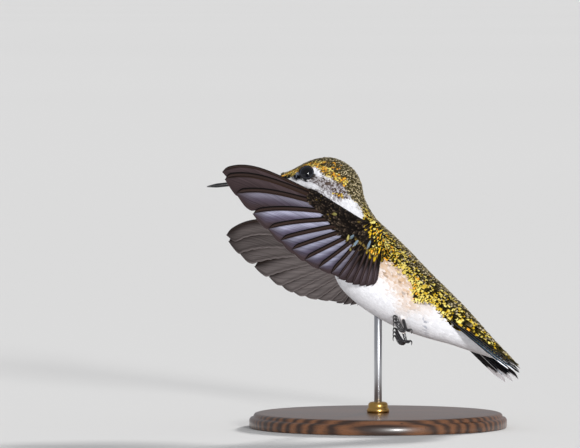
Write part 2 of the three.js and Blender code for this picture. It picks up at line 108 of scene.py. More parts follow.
PRIMARY_ANGLES = [54.5, 44.2, 35.8, 29.3, 25.2, 21.0, 15.9, 10.2, 7.0, 6.4]  # degrees behind the span
SECONDARY_LENGTH = 10.2
SECONDARY_ANGLE = 93.5
LEADING_BOW = 2.5  # curve of the outermost primary
ARM_THICK = [1.0, 1.7, 1.6, 1.05]  # half-thickness, evenly from the shoulder to the wrist
HAND_THICK = [0.95, 0.5]
ARM_FROM = -2.6  # where arm and hand begin and end along the span
HAND_FROM = 4.6
HAND_TO = 26.0
SKIN_TO = 19.0  # where the flesh of the hand ends

TAIL_ROOT = (12.6, -3.8)
TAIL_SLOPE = math.radians(37.3)
TAIL_CENTRAL = 24.8
TAIL_LONGEST = 27.0
TAIL_OUTER = 26.0
TAIL_SPREAD = math.radians(21)
TAIL_BOW = 0.4  # outward curve of the feathers, of their reach to the side
TAIL_STEP = 0.36  # between the roots of the feathers
TAIL_ROOF = 0.33  # how steeply the tail falls off to its sides
TAIL_PAIRS = 5

LEG_JOINTS = np.array([[4.8, 2.4, -5.4], [5.2, 4.3, -6.9], [6.4, 5.2, -11.3]])  # thigh, heel and foot
SHANK_RADII = [0.5, 0.42, 0.36]
RIGHT_LEG_SHIFT = np.array([0.1, -1.9, -1.3])
# Joints of the inner front toe and claw from the foot, each with its share of the drop to the next toe.
FRONT_TOE = [[-0.1, 0.0, 0.1, 0.0], [-0.7, 0.1, 0.1, 0.3], [-1.6, 0.4, 1.5, 0.9], [-2.35, 0.6, 3.2, 1]]
FRONT_CLAW = [[-2.35, 0.6, 3.2, 1], [-2.8, 0.6, 3.25, 1], [-2.98, 0.66, 2.7, 1], [-2.9, 0.7, 2.0, 1]]
TOE_SIDE_STEP = 0.3
TOE_DROP_STEP = 0.85
HIND_TOE = [[0.1, 0.0, 0.1, 0], [0.5, -0.1, -0.1, 0], [0.9, -0.1, 0.2, 0]]
HIND_CLAW = [[0.9, -0.1, 0.2, 0], [1.25, -0.1, 0.1, 0], [1.35, -0.1, -0.4, 0], [1.2, -0.1, -0.9, 0]]

CAMERA = {"aim": (-20.5, 0.0, 47.4), "elevation": 2.0, "distance": 1600.0, "view_width": 134.9}

# ---- colours


def srgb(red, green, blue):
    """Linear red, green and blue from display values of 0 to 255."""
    c = np.array([red, green, blue]) / 255
    return np.where(c <= 0.04045, c / 12.92, ((c + 0.055) / 1.055) ** 2.4)


WHITE = srgb(242, 242, 246)
BUFF = srgb(208, 174, 140)
CHEEK = srgb(130, 123, 125)
CHEEK_PALE = srgb(178, 174, 177)
CHEEK_DARK = srgb(80, 66, 58)
DUSKY = srgb(60, 54, 36)
DUSKY_RIM = srgb(206, 190, 152)
HEAD_BROWN = srgb(128, 104, 68)
OLIVE = srgb(74, 64, 22)
# Also the painted shade between golden feathers.
OLIVE_BLACK = srgb(12, 11, 6)
GOLD = srgb(238, 196, 42)
GOLD_PALE = srgb(255, 240, 140)
ORANGE_GOLD = srgb(244, 176, 54)
BLACK = srgb(8, 7, 9)
INK = srgb(10, 10, 14)
LORE_GREY = srgb(128, 134, 150)
IRIS = srgb(10, 12, 24)
WING_DARK = srgb(56, 43, 39)
# Dark line by the shaft, and painted shadow line along each feather's leading edge.
WING_LINE_AND_SHADOW = srgb(6, 4, 4)
WING_BROWN = srgb(46, 32, 24)
# Painted sheen: the lavender highlight on the trailing vanes next to the shaft.
WING_SHEEN_HIGHLIGHT = srgb(164, 164, 186)
WING_VANE = srgb(92, 86, 106)
WING_EDGE = srgb(64, 52, 53)
UNDER_VANE = srgb(126, 117, 115)
UNDER_EDGE = srgb(50, 42, 40)
COVERT_DARK = srgb(14, 10, 8)
COVERT_OLIVE = srgb(112, 94, 46)
COVERT_BROWN = srgb(112, 96, 80)
COVERT_GREY = srgb(120, 112, 104)
SHEEN_BLUE = srgb(134, 158, 176)
SHEEN_YELLOW = srgb(196, 186, 112)
TEAL = srgb(56, 146, 188)
TAIL_BLACK = srgb(8, 8, 10)
TAIL_SHAFT = srgb(84, 80, 86)

# ---- curves and surfaces


def smooth(values, s):
    """A Catmull-Rom curve through a list of numbers or points, continued straight past its ends."""
    v = np.asarray(values, float)
    padded = np.concatenate([[2 * v[0] - v[1]], v, [2 * v[-1] - v[-2]]])
    s = np.asarray(s, float)
    i = np.clip(np.floor(s).astype(int), 0, len(v) - 2)
    t = (s - i).reshape(s.shape + (1,) * (v.ndim - 1))
    a, b, c, d = (padded[i + k] for k in range(4))
    return 0.5 * (
        2 * b + (c - a) * t + (2 * a - 5 * b + 4 * c - d) * t**2 + (3 * b - a - 3 * c + d) * t**3
    )


def ramp(x, low, high):
    """0 below low, 1 above high and smooth between; low may be above high."""
    t = np.clip((x - low) / (high - low), 0, 1)
    return t * t * (3 - 2 * t)


def mix(a, b, t):
    """Blends arrays of colours by an array of shares."""
    t = np.asarray(t)[..., None]
    return a * (1 - t) + b * t


def unit(v):
    return v / np.maximum(np.linalg.norm(v, axis=-1, keepdims=True), 1e-9)


def body_point(s, angle, grow=0.0):
    """A point of the plumage's surface: angle 0 is the back's midline and 90 degrees the right side."""
    s, angle, grow = np.broadcast_arrays(s, angle, grow)
    top_x, top_z, low_x, low_z, width = (smooth(column, s) for column in STATIONS.T)
    up_x, up_z = (top_x - low_x) / 2, (top_z - low_z) / 2
    high, wide = section_shape(angle)
    reach = (1 + grow / np.hypot(up_x, up_z)) * high
    return np.stack(
        [(top_x + low_x) / 2 + up_x * reach, (width + grow) * wide, (top_z + low_z) / 2 + up_z * reach],
        axis=-1,
    )


def section_shape(angle):
    """How far up and to the side a point of the cross-section lies, each from -1 to 1."""
    power = 2 / BODY_SQUARENESS
    high = np.sign(np.cos(angle)) * np.abs(np.cos(angle)) ** power
    wide = np.sign(np.sin(angle)) * np.abs(np.sin(angle)) ** power
    return high, wide * (1 + BREAST_FULLNESS * high)


STEP = 0.02  # in a surface's own coordinates, for its tangents


def surface_frame(surface, a, b):
    """Tangents along a and b and the outward normal, by small steps on a surface(a, b)."""
    along = surface(a + STEP, b) - surface(a - STEP, b)
    across = surface(a, b + STEP) - surface(a, b - STEP)
    return along / (2 * STEP), across / (2 * STEP), unit(np.cross(along, across))


def square_to(direction, other):
    """Two directions square to the first one and to each other; their first is square to the other too."""
    side = unit(np.cross(direction, other))
    return side, np.cross(side, direction)


def circle(side, up, turn):
    """Directions at angles round the axis to which two directions are square."""
    return side * np.cos(turn) + up * np.sin(turn)


def pairs(a, b):
    """Two arrays, or an array and a number, as one array of pairs."""
    return np.stack(np.broadcast_arrays(a, b), axis=-1)


SPAN = np.array([
    -math.sin(FORWARD) * math.cos(RAISE),
    math.cos(FORWARD) * math.cos(RAISE),
    math.sin(RAISE),
])
CHORD = unit(np.array([0, 0, -1.0]) + SPAN * SPAN[2])
DORSAL = -np.cross(SPAN, CHORD)


def wing_sheet(p, q):
    """The right wing's middle surface: p runs out along the span and q from front to back."""
    p, q = np.broadcast_arrays(np.asarray(p, float), np.asarray(q, float))
    point = SHOULDER + p[..., None] * SPAN + q[..., None] * CHORD
    point[..., 1] = FLANK + np.log1p(np.exp(point[..., 1] - FLANK))
    arch = CAMBER * (1 - ((q - CAMBER_MID) / CAMBER_REACH) ** 2)
    return point + arch[..., None] * DORSAL


def wing_point(p, q, height):
    """A point at a height over the wing's middle surface, towards the dorsal side."""
    outward, back, _ = surface_frame(wing_sheet, p, q)
    return wing_sheet(p, q) + unit(np.cross(back, outward)) * np.asarray(height)[..., None]


def shaft(a, u):
    """The shaft of a flight feather as p and q, at u from its root (0) to its tip (1).
    a counts the feathers: 1 to 10 are the primaries, and 0 down to -5 the secondaries."""
    t = (a - 1) / (PRIMARIES - 1)
    v = (1 - a) / SECONDARIES
    if a >= 1:
        root = WRIST + (HAND_TIP - WRIST) * t**ROOT_CROWDING
        length = smooth(PRIMARY_LENGTHS, a - 1)
        angle = math.radians(smooth(PRIMARY_ANGLES, a - 1))
        bow = LEADING_BOW * t**3
    else:
        root = WRIST + (ELBOW - WRIST) * v
        length = PRIMARY_LENGTHS[0] + (SECONDARY_LENGTH - PRIMARY_LENGTHS[0]) * v
        angle = math.radians(PRIMARY_ANGLES[0] + (SECONDARY_ANGLE - PRIMARY_ANGLES[0]) * v)
        bow = 0.0
    arc = bow * 27 / 4 * u * u * (1 - u)
    p = root[0] + u * length * math.cos(angle) + arc * math.sin(angle)
    q = root[1] + u * length * math.sin(angle) - arc * math.cos(angle)
    return p, q


LEAD_ROOT, LEAD_SLOPE, LEAD_END = -0.85, -0.18, -4.3
FLESH_DEPTH = 3.6  # how far back the fleshy front reaches at the arm
FLESH_SLOPE = 0.38  # how fast it narrows along the hand
FLESH_LEAST = 0.5


def leading_edge(p):
    return np.maximum(LEAD_ROOT + LEAD_SLOPE * p, LEAD_END)


def covert_edge(p):
    """The rear edge of the fleshy front, where the long coverts begin to lie on the flight feathers."""
    return np.maximum(np.minimum(FLESH_DEPTH, 3.3 - FLESH_SLOPE * (p - 7)), leading_edge(p) + FLESH_LEAST)


def flesh_share(p, q):
    """How far across the fleshy front q lies, from 0 at its leading edge to 1."""
    return np.clip((q - leading_edge(p)) / (covert_edge(p) - leading_edge(p)), 0, 1)


def flesh_half(p, q, shrink=0.0):
    """Half-thickness of the wing's fleshy front at p and q."""
    arm = np.interp(p, np.linspace(ARM_FROM, HAND_FROM, len(ARM_THICK)), ARM_THICK)
    hand = np.interp(p, [HAND_FROM, HAND_TO], HAND_THICK)
    middle = np.where(p < HAND_FROM, arm, hand)
    profile = 0.35 + 0.65 * np.sin(np.pi * flesh_share(p, q) ** 0.75)
    return np.maximum(middle * profile - shrink, 0.12)


TAIL_AXIS = np.array([math.cos(TAIL_SLOPE), 0, -math.sin(TAIL_SLOPE)])
TAIL_UP = np.array([-TAIL_AXIS[2], 0, TAIL_AXIS[0]])


def tail_shaft(c, u):
    """The shaft of a right tail feather as along and across; c is 0.5 to 4.5 from the middle out."""
    side = c / (TAIL_PAIRS - 0.5)
    length = (
        TAIL_CENTRAL
        + (TAIL_LONGEST - TAIL_CENTRAL) * ramp(side, 0, 0.6)
        - (TAIL_LONGEST - TAIL_OUTER) * ramp(side, 0.6, 1)
    )
    angle = TAIL_SPREAD * c / (TAIL_PAIRS - 0.5)
    bowed = u * (1 + TAIL_BOW * (0.75 - u))
    return u * length * math.cos(angle), c * TAIL_STEP + bowed * length * math.sin(angle)


def tail_point(along, across, height):
    droop = TAIL_ROOF * (np.hypot(across, 1.2) - 1.2)
    point = np.array([TAIL_ROOT[0], 0, TAIL_ROOT[1]]) + along[..., None] * TAIL_AXIS
    point = point + (height - droop)[..., None] * TAIL_UP
    point[..., 1] += across
    return point


# ---- from the bird's frame to the row's


def to_world(points):
    """Millimetres in the bird's frame to metres in the row's frame."""
    x, y, z = np.moveaxis(np.asarray(points, float), -1, 0)
    turned_y = y * math.cos(BANK) + z * math.sin(BANK)
    turned_z = -y * math.sin(BANK) + z * math.cos(BANK) + BANK_HEIGHT
    return np.stack([x, turned_y, turned_z], axis=-1) * MM


def from_world(points):
    """The reverse of to_world."""
    x, y, z = np.moveaxis(points / MM, -1, 0)
    z = z - BANK_HEIGHT
    own_y = y * math.cos(BANK) - z * math.sin(BANK)
    return np.stack([x, own_y, y * math.sin(BANK) + z * math.cos(BANK)], axis=-1)


def mirrored(points):
    return points * np.array([1, -1, 1])


def settle_right_wing(points):
    """Turns the right wing about its shoulder, along its own blade, and lowers it."""
    turn = np.array(Matrix.Rotation(RIGHT_RAISE, 3, Vector(DORSAL)))
    return (points - SHOULDER) @ turn.T + SHOULDER - np.array([0, 0, RIGHT_DROP])


def on_wing(side, points):
    return mirrored(points) if side == "left" else settle_right_wing(points)


# ---- meshes


def signed_volume(points, quads, tris):
    """Six times the volume inside the faces, negative where they face inwards."""
    corners = np.concatenate([quads[:, [0, 1, 2]], quads[:, [0, 2, 3]], tris])
    a, b, c = np.moveaxis((points - points.mean(axis=0))[corners], 1, 0)
    return np.einsum("ij,ij->", a, np.cross(b, c))


SHARP = math.radians(60)  # edges with a steeper turn than this are not shaded smooth


class Part:
    """Closed solids gathered into one mesh, with colours and maps for each point."""

    def __init__(self):
        self.points, self.quads, self.tris, self.data = [], [], [], {}
        self.count = 0

    def add(self, points, quads, tris=(), **data):
        """Adds solids; data holds arrays with a row for each point, or one row for all of them."""
        points = np.reshape(points, (-1, 3))
        quads = np.reshape(quads, (-1, 4)).astype(int)
        tris = np.reshape(tris, (-1, 3)).astype(int)
        if signed_volume(points, quads, tris) < 0:
            quads, tris = quads[:, ::-1], tris[:, ::-1]
        self.points.append(points)
        self.quads.append(quads + self.count)
        self.tris.append(tris + self.count)
        for key, value in data.items():
            value = np.asarray(value, float)
            rows = np.broadcast_to(value, (len(points), value.shape[-1]))
            self.data.setdefault(key, []).append(rows)
        self.count += len(points)

    def make(self, name, material, body_frame=True):
        """The mesh object."""
        points = np.concatenate(self.points)
        points = to_world(points) if body_frame else points * MM
        quads, tris = np.concatenate(self.quads), np.concatenate(self.tris)
        corners = np.concatenate([quads.ravel(), tris.ravel()]).astype(np.int32)
        starts = np.concatenate([np.arange(len(quads)) * 4, len(quads) * 4 + np.arange(len(tris)) * 3])
        mesh = bpy.data.meshes.new(name)
        mesh.vertices.add(len(points))
        mesh.vertices.foreach_set("co", points.astype(np.float32).ravel())
        mesh.loops.add(len(corners))
        mesh.loops.foreach_set("vertex_index", corners)
        mesh.polygons.add(len(starts))
        mesh.polygons.foreach_set("loop_start", starts.astype(np.int32))
        mesh.update(calc_edges=True)
        mesh.shade_smooth()
        for key, rows in self.data.items():
            self.store(mesh, key, np.concatenate(rows).astype(np.float32), corners)
        mesh.set_sharp_from_angle(angle=SHARP)
        mesh.materials.append(material)
        made = bpy.data.objects.new(name, mesh)
        bpy.context.scene.collection.objects.link(made)
        return made

    @staticmethod
    def store(mesh, key, values, corners):
        """Stores pairs as a UV map and colours as a colour attribute."""
        if values.shape[1] == 2:
            mesh.uv_layers.new(name=key).data.foreach_set("uv", values[corners].ravel())
            return
        colours = np.ones((len(values), 4), np.float32)
        colours[:, : values.shape[1]] = values
        mesh.color_attributes.new(key, "FLOAT_COLOR", "POINT").data.foreach_set("color", colours.ravel())


def grid_quads(rows, columns, closed=False):
    """Faces between rows and columns of points; closed joins the last column to the first."""
    i = np.arange(rows - 1)[:, None]
    j = np.arange(columns if closed else columns - 1)[None, :]
    k = (j + 1) % columns
    a, b = i * columns + j, i * columns + k
    return np.stack([a, b, b + columns, a + columns], axis=-1).reshape(-1, 4)


def plate_quads(rows, columns):
    """Faces of a closed plate whose upper points come first and lower points after them."""
    top = grid_quads(rows, columns)
    low = top[:, ::-1] + rows * columns
    edge = np.concatenate([
        np.arange(columns - 1),
        np.arange(rows - 1) * columns + columns - 1,
        np.arange(columns - 1, 0, -1) + (rows - 1) * columns,
        np.arange(rows - 1, 0, -1) * columns,
    ])
    after = np.roll(edge, -1)
    rim = np.stack([edge, edge + rows * columns, after + rows * columns, after], axis=-1)
    return np.concatenate([top, low, rim])


def capped_quads(rows, sides):
    """Faces of a loft of closed rings whose last two points are the middles of its ends."""
    turn = np.arange(sides)
    after = (turn + 1) % sides
    start = np.full(sides, rows * sides)
    last = (rows - 1) * sides
    first_cap = np.stack([after, turn, start], axis=-1)
    last_cap = np.stack([last + turn, last + after, start + 1], axis=-1)
    return grid_quads(rows, sides, closed=True), np.concatenate([first_cap, last_cap])


def capped(rings):
    """Points, quads and triangles of a closed loft through rings of points."""
    ends = np.stack([rings[0].mean(axis=0), rings[-1].mean(axis=0)])
    points = np.concatenate([rings.reshape(-1, 3), ends])
    return points, *capped_quads(*rings.shape[:2])


def tube(path, radii, sides=12, squash=1.0):
    """A closed tapering tube along a path of points."""
    path = np.asarray(path, float)
    radii = np.broadcast_to(radii, (len(path),))
    tangent = unit(np.gradient(path, axis=0))
    side, up = square_to(tangent, np.array([0.13, 0.97, 0.21]))
    turn = 2 * np.pi * np.arange(sides)[None, :, None] / sides
    ring = circle(side[:, None], up[:, None] * squash, turn)
    return capped(path[:, None] + ring * radii[:, None, None])


def curve_through(points, steps):
    """A smooth curve through a few points."""
    points = np.asarray(points, float)
    s = np.linspace(0, len(points) - 1, steps)
    return np.stack([smooth(column, s) for column in points.T], axis=-1)


def ride(piece, slot, *nodes):
    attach(piece, "root")
    if nodes:
        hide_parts(*nodes)
    return piece


# ---- materials


def new_material(name, roughness=0.5, **sockets):
    """A material with a Principled shader; sockets are given by their names with _ for a space."""
    material = bpy.data.materials.new(name)
    material.use_nodes = True
    shader = material.node_tree.nodes["Principled BSDF"]
    shader.inputs["Roughness"].default_value = roughness
    for key, value in sockets.items():
        shader.inputs[key.replace("_", " ")].default_value = value
    return material, material.node_tree, shader


def node(tree, kind, inputs=None, **settings):
    """A new shader node; inputs maps a socket's name or number to a value or to another node's output."""
    made = tree.nodes.new(kind)
    for key, value in settings.items():
        setattr(made, key, value)
    for key, value in (inputs or {}).items():
        if isinstance(value, bpy.types.NodeSocket):
            tree.links.new(value, made.inputs[key])
        else:
            made.inputs[key].default_value = value
    return made


def maths(tree, operation, a, b=0.0, c=0.0):
    return node(tree, "ShaderNodeMath", {0: a, 1: b, 2: c}, operation=operation).outputs[0]


def rgba(red_green_blue):
    return (*red_green_blue, 1.0)


def attribute(tree, name):
    return node(tree, "ShaderNodeAttribute", attribute_name=name).outputs


def noise(tree, scale, detail, **sockets):
    sockets = {"Scale": scale, "Detail": detail, **sockets}
    return node(tree, "ShaderNodeTexNoise", sockets).outputs[0]


def stretched(tree, scale):
    """The place on the object, stretched by a scale for each axis."""
    place = node(tree, "ShaderNodeTexCoord").outputs["Object"]
    return node(tree, "ShaderNodeMapping", {0: place, 3: scale}).outputs[0]


def map_range(tree, value, low, high, **settings):
    return node(tree, "ShaderNodeMapRange", {0: value, 1: low, 2: high}, **settings).outputs[0]


def add_colour(tree, shader, colour):
    tree.links.new(colour, shader.inputs["Base Color"])


def add_shaded_colour(tree, shader, colour, height, gain, least):
    """A colour made darker in the hollows and lighter on the heights."""
    shade = maths(tree, "MULTIPLY_ADD", height, gain, least)
    grey = node(tree, "ShaderNodeCombineColor", {0: shade, 1: shade, 2: shade}).outputs[0]
    add_colour(tree, shader, blend(tree, 1.0, colour, grey, "MULTIPLY"))


def add_relief(tree, shader, height, strength, depth):
    """Relief of a depth in millimetres."""
    bump = node(tree, "ShaderNodeBump", {"Strength": strength, "Distance": depth * MM, "Height": height})
    tree.links.new(bump.outputs[0], shader.inputs["Normal"])


def blend(tree, share, a, b, kind="MIX"):
    made = node(tree, "ShaderNodeMix", {0: share, 6: a, 7: b}, data_type="RGBA", blend_type=kind)
    return made.outputs[2]


BARB_SLANT = 0.45
FEATHER_SHEEN = {"Sheen_Weight": 0.01, "Sheen_Roughness": 0.5, "Specular_IOR_Level": 0.05}


def add_barbs(tree, shader, pitch, strength, depth):
    """Fine slanting barbs on a vane, as relief. Also returns how far across the vane a point lies, from 0 at
    the shaft to 1 at the edge, and how far along."""
    vane = node(tree, "ShaderNodeSeparateXYZ", {0: node(tree, "ShaderNodeUVMap", uv_map="Vane").outputs[0]})
    seed, along = vane.outputs[0], vane.outputs[1]
    across = maths(tree, "MULTIPLY_ADD", maths(tree, "FRACT", seed), 2.5, -1.25)
    across = maths(tree, "ABSOLUTE", across)
    slant = maths(tree, "MULTIPLY_ADD", across, BARB_SLANT, along)
    place = node(tree, "ShaderNodeCombineXYZ", {0: maths(tree, "MULTIPLY", slant, pitch), 1: seed, 2: 0.0})
    barbs = noise(tree, 1.0, 3.0, Vector=place.outputs[0])
    add_relief(tree, shader, barbs, strength, depth)
    return barbs, across, along


def plumage_material(name, metallic):
    """Small feathers: the colour of the middle, a differently coloured rim, and barbs."""
    material, tree, shader = new_material(name, 0.6, **FEATHER_SHEEN)
    middle, rim = attribute(tree, "Col"), attribute(tree, "Rim")
    relief = maths(tree, "MULTIPLY_ADD", middle["Alpha"], 0.6, 0.12)
    barbs, across, along = add_barbs(tree, shader, 26.0, relief, 0.05)
    tip = map_range(tree, along, 0.8, 0.92, interpolation_type="SMOOTHSTEP")
    edge = map_range(tree, across, 0.65, 0.98, interpolation_type="SMOOTHSTEP")
    share = maths(tree, "MAXIMUM", tip, maths(tree, "MULTIPLY", edge, along))
    share = maths(tree, "MULTIPLY_ADD", maths(tree, "SUBTRACT", barbs, 0.5), 0.9, share)
    share = node(tree, "ShaderNodeClamp", {0: share}).outputs[0]
    add_shaded_colour(tree, shader, blend(tree, share, middle[0], rim[0]), barbs, 0.5, 0.75)
    tree.links.new(maths(tree, "MULTIPLY", middle["Alpha"], metallic), shader.inputs["Metallic"])
    return material


def flight_material():
    """Wing and tail quills: smooth vanes with fine barbs."""
    material, tree, shader = new_material("flight_feathers", 0.5, **FEATHER_SHEEN)
    barbs, _, _ = add_barbs(tree, shader, 50.0, 0.7, 0.08)
    add_shaded_colour(tree, shader, attribute(tree, "Col")[0], barbs, 1.7, 0.15)
    return material


def skin_material():
    material, tree, shader = new_material("skin", 0.8)
    pores = noise(tree, 1800.0, 4.0)
    add_shaded_colour(tree, shader, attribute(tree, "Col")[0], pores, 0.6, 0.6)
    add_relief(tree, shader, pores, 0.5, 0.1)
    return material


def horn_material(name, dark, light, scale, roughness):
    """Horn or scaled skin: two close colours in fine streaks, with slight relief."""
    material, tree, shader = new_material(
        name, roughness, Specular_IOR_Level=0.4, Coat_Weight=0.6, Coat_Roughness=0.12
    )
    streaks = noise(tree, scale, 5.0, Roughness=0.6)
    add_colour(tree, shader, blend(tree, streaks, rgba(dark), rgba(light)))
    add_relief(tree, shader, streaks, 0.35, 0.05)
    return material


def eye_material():
    material, tree, shader = new_material("eye", 0.06, Specular_IOR_Level=0.4)
    flecks = noise(tree, 2500.0, 2.0)
    add_colour(tree, shader, blend(tree, flecks, attribute(tree, "Col")[0], rgba(BLACK * 0.3)))
    return material


def wood_material():
    """Dark walnut: long grain with pores under a satin varnish."""
    material, tree, shader = new_material("stand_wood", 0.35, Coat_Weight=0.4, Coat_Roughness=0.2)
    place = stretched(tree, (60.0, 420.0, 420.0))
    rings = {"Vector": place, "Scale": 0.35, "Distortion": 6.0, "Detail": 3.0, "Detail Scale": 1.2}
    rings = node(tree, "ShaderNodeTexWave", rings, bands_direction="Y").outputs[0]
    share = blend(tree, 0.45, rings, noise(tree, 0.35, 4.0, Vector=place))
    grain = node(tree, "ShaderNodeValToRGB", {0: share})
    ends = grain.color_ramp.elements
    ends[0].position, ends[0].color = 0.25, rgba(srgb(46, 28, 18))
    ends[1].position, ends[1].color = 0.8, rgba(srgb(112, 72, 44))
    pores = noise(tree, 1.0, 2.0, Vector=stretched(tree, (500.0, 6000.0, 6000.0)))
    speck = map_range(tree, pores, 0.62, 0.7)
    add_colour(tree, shader, blend(tree, speck, grain.outputs[0], rgba(srgb(30, 18, 12))))
    add_relief(tree, shader, pores, 0.15, 0.1)
    return material


def metal_material(name, colour, stretch, roughness):
    """Brushed metal: fine scratches along one axis in roughness and relief."""
    material, tree, shader = new_material(name, roughness, Metallic=1.0)
    scratches = noise(tree, 1.0, 4.0, Vector=stretched(tree, stretch))
    rough = maths(tree, "MULTIPLY_ADD", scratches, 0.25, roughness - 0.1)
    tree.links.new(rough, shader.inputs["Roughness"])
    add_colour(tree, shader, blend(tree, scratches, rgba(colour * 0.8), rgba(colour)))
    add_relief(tree, shader, scratches, 0.2, 0.02)
    return material


# ---- markings

# The height in the cross-section, from -1 below to 1 above, of the edge of the white underparts at each half
# station, and of the edge between cheek and crown at each station of the head.
WHITE_EDGE = [
    -0.6, -0.68, -0.74, -0.76, -0.77, -0.76, -0.75, -0.75, -0.74, -0.72, -0.69, -0.65, -0.59, -0.5, -0.39,
    -0.12, 0.2, 0.42, 0.58, 0.64, 0.3, 0.34, 0.36, 0.33, 0.32, 0.31, 0.22, -0.12, 0.12, 0.0, -0.08, -0.17,
    -0.2, -0.28, -0.39, -0.5, -0.6,
]
CROWN_EDGE = [0.0, 0.1, 0.3, 0.45, 0.2, 0.0, 0.04, 0.2, 0.3]

# Soft oval marks: the centre as x and z, half the length and the width, the tilt in degrees and the strength.
GOLDEN_SPOTS = [
    ((-10.3, 25.25), (4.3, 1.15), -33, 1.0),  # over the cheek
    ((-15.2, 28.1), (3.0, 0.8), 12, 1.0),  # brow
    ((-20.0, 26.3), (2.5, 0.8), 26, 1.0),  # lores
    ((-9.2, 20.5), (1.6, 0.5), -12, 0.8),  # under the cheek
    ((-11.5, 27.8), (4.0, 1.6), -10, 0.5),  # side of the crown
]
MALAR_SPOT = ((-17.3, 23.6), (4.2, 0.72), -23)
CHEEK_EDGE_SPOT = ((-11.3, 20.15), (3.6, 0.5), -34)
WHITE_SPOTS = [
    ((-14.15, 26.0), (1.55, 0.72), -55, 1.0),  # behind the eye
    ((-11.9, 24.6), (1.7, 0.35), -25, 0.7),
]
DARK_SPOTS = [
    ((-18.5, 25.3), (1.6, 0.95), 6, 1.0),  # before the eye
    ((-16.5, 25.7), (1.72, 1.72), 0.0, 1.0, 0.05),  # under the lids
    ((-21.2, 25.5), (1.2, 0.4), 8, 1.0),  # at the bill
]
LORE_SPOT = ((-18.75, 25.75), (0.6, 0.6))
# Painted shadow: a grey mark where the belly's feathers fold in at the thigh.
CREASE_SHADOW_SPOT = ((10.7, -10.0), (1.9, 0.3), 100)  # between belly and thigh


def spot(points, centre, size, tilt=0.0, strength=1.0, soft=0.35):
    """A soft oval mark on both sides of the bird: its strength inside and 0 outside."""
    x, z = points[..., 0] - centre[0], points[..., 2] - centre[1]
    c, s = math.cos(math.radians(tilt)), math.sin(math.radians(tilt))
    along, across = x * c + z * s, -x * s + z * c
    return ramp(np.hypot(along / size[0], across / size[1]), 1 + soft, 1 - soft) * strength


def spots(points, several):
    return np.maximum.reduce([spot(points, *one) for one in several])


def pick(luck, limit, chosen, other):
    """Feather by feather, the chosen colour where luck is under a limit, and otherwise the other."""
    return mix(other, chosen, luck < limit)


class Marks:
    """Colours of feathers: the middle, the rim and the metallic share of each."""

    def __init__(self, count):
        self.luck = rng.random(count)
        self.shade = rng.random(count)
        self.middle = np.zeros((count, 3))
        self.rim = np.zeros((count, 3))
        self.gloss = np.zeros(count)

    def paint(self, share, middle, rim, gloss=0.0):
        """Lays a middle, a rim and a gloss over the present ones by an array of shares."""
        self.middle = mix(self.middle, middle, share)
        self.rim = mix(self.rim, rim, share)
        self.gloss = self.gloss * (1 - share) + gloss * share

    def paint_gold(self, share, dark_and_shaded_share, orange=0.0, dark=OLIVE_BLACK):
        """Golden flecks between dark feathers, with a share of orange ones. With the default dark colour, the
        dark feathers and the dark rims of the golden ones are painted shade: the shadow between feathers and
        iridescence turned away from the light.
        """
        bright = mix(GOLD * 0.75, GOLD_PALE, self.shade)
        bright = pick(self.shade, orange, ORANGE_GOLD, bright)
        middle = pick(self.luck, dark_and_shaded_share, dark, bright)
        rim = pick(self.luck, dark_and_shaded_share, pick(self.shade, 0.3, GOLD * 0.7, OLIVE * 0.7), dark)
        self.paint(share, middle, rim, 0.8)


def on_head(s):
    return ramp(s, 8.6, 8.0)


def body_markings(s, angle):
    """The marks of the feathers whose visible parts lie at stations s and at angles on head or body."""
    marks = Marks(len(s))
    points = body_point(s, angle)
    high, _ = section_shape(angle)
    jitter = rng.normal(0, 1, len(s))
    edge = smooth(WHITE_EDGE, 2 * s) + 0.03 * jitter
    tone = mix(WHITE, WHITE * 0.88, marks.shade) * (1 - 0.08 * ramp(s, 12.0, 14.0))[:, None]
    paint_upperparts(marks, s, high, edge)
    paint_crown_and_cheek(marks, s, high, points, jitter)
    paint_underparts(marks, s, high, points, edge, tone)
    paint_face(marks, s, points, tone)
    return marks


def paint_upperparts(marks, s, high, edge):
    """Dusky feathers with olive rims, and golden flecks along the sides of the back between dark feathers of
    painted shade.
    """
    tone = mix(DUSKY_RIM, OLIVE, np.clip(1.6 * marks.shade - 0.4, 0, 1))
    marks.paint(1.0, mix(DUSKY, DUSKY * 0.4, marks.luck), tone, 0.1)
    side = ramp(high, 0.97, 0.8) * ramp(s, 8.8, 9.8)
    salt = ramp(high, 0.35, 0.85) * ramp(s, 10.5, 12.5)
    low = ramp(high - edge, 0.5, 0.2) * ramp(s, 11.0, 12.0) * ramp(s, 15.6, 14.8)
    # Share of dark feathers of painted shade among the golden flecks: more towards the spine and the tail,
    # fewer along the lower edge of the back.
    dark_and_shaded_share = 0.42 + 0.15 * salt - 0.34 * low + 0.2 * ramp(s, 14.0, 15.0)
    kept = (rng.random(len(s)) > 0.6 * salt) * (marks.shade + side > 0.6)
    marks.paint_gold(side * kept, dark_and_shaded_share, 0.05)


def paint_crown_and_cheek(marks, s, high, points, jitter):
    """Golden flecks on the head, and the grey cheek below the edge of the crown."""
    golden = spots(points, GOLDEN_SPOTS) > 0.3 + 0.5 * marks.shade
    marks.paint_gold(on_head(s) * golden, 0.4, 0.35, HEAD_BROWN)
    edge = smooth(CROWN_EDGE, np.minimum(s, len(CROWN_EDGE) - 1)) + 0.05 * jitter
    cheek = on_head(s) * ramp(high, edge + 0.05, edge - 0.05) * ramp(s, 2.2, 3.4) * (1 - golden)
    middle = pick(marks.luck, 0.3, CHEEK_DARK, pick(marks.luck, 0.65, CHEEK, CHEEK_PALE))
    marks.paint(cheek, middle, pick(marks.shade, 0.6, CHEEK_PALE, CHEEK_DARK))


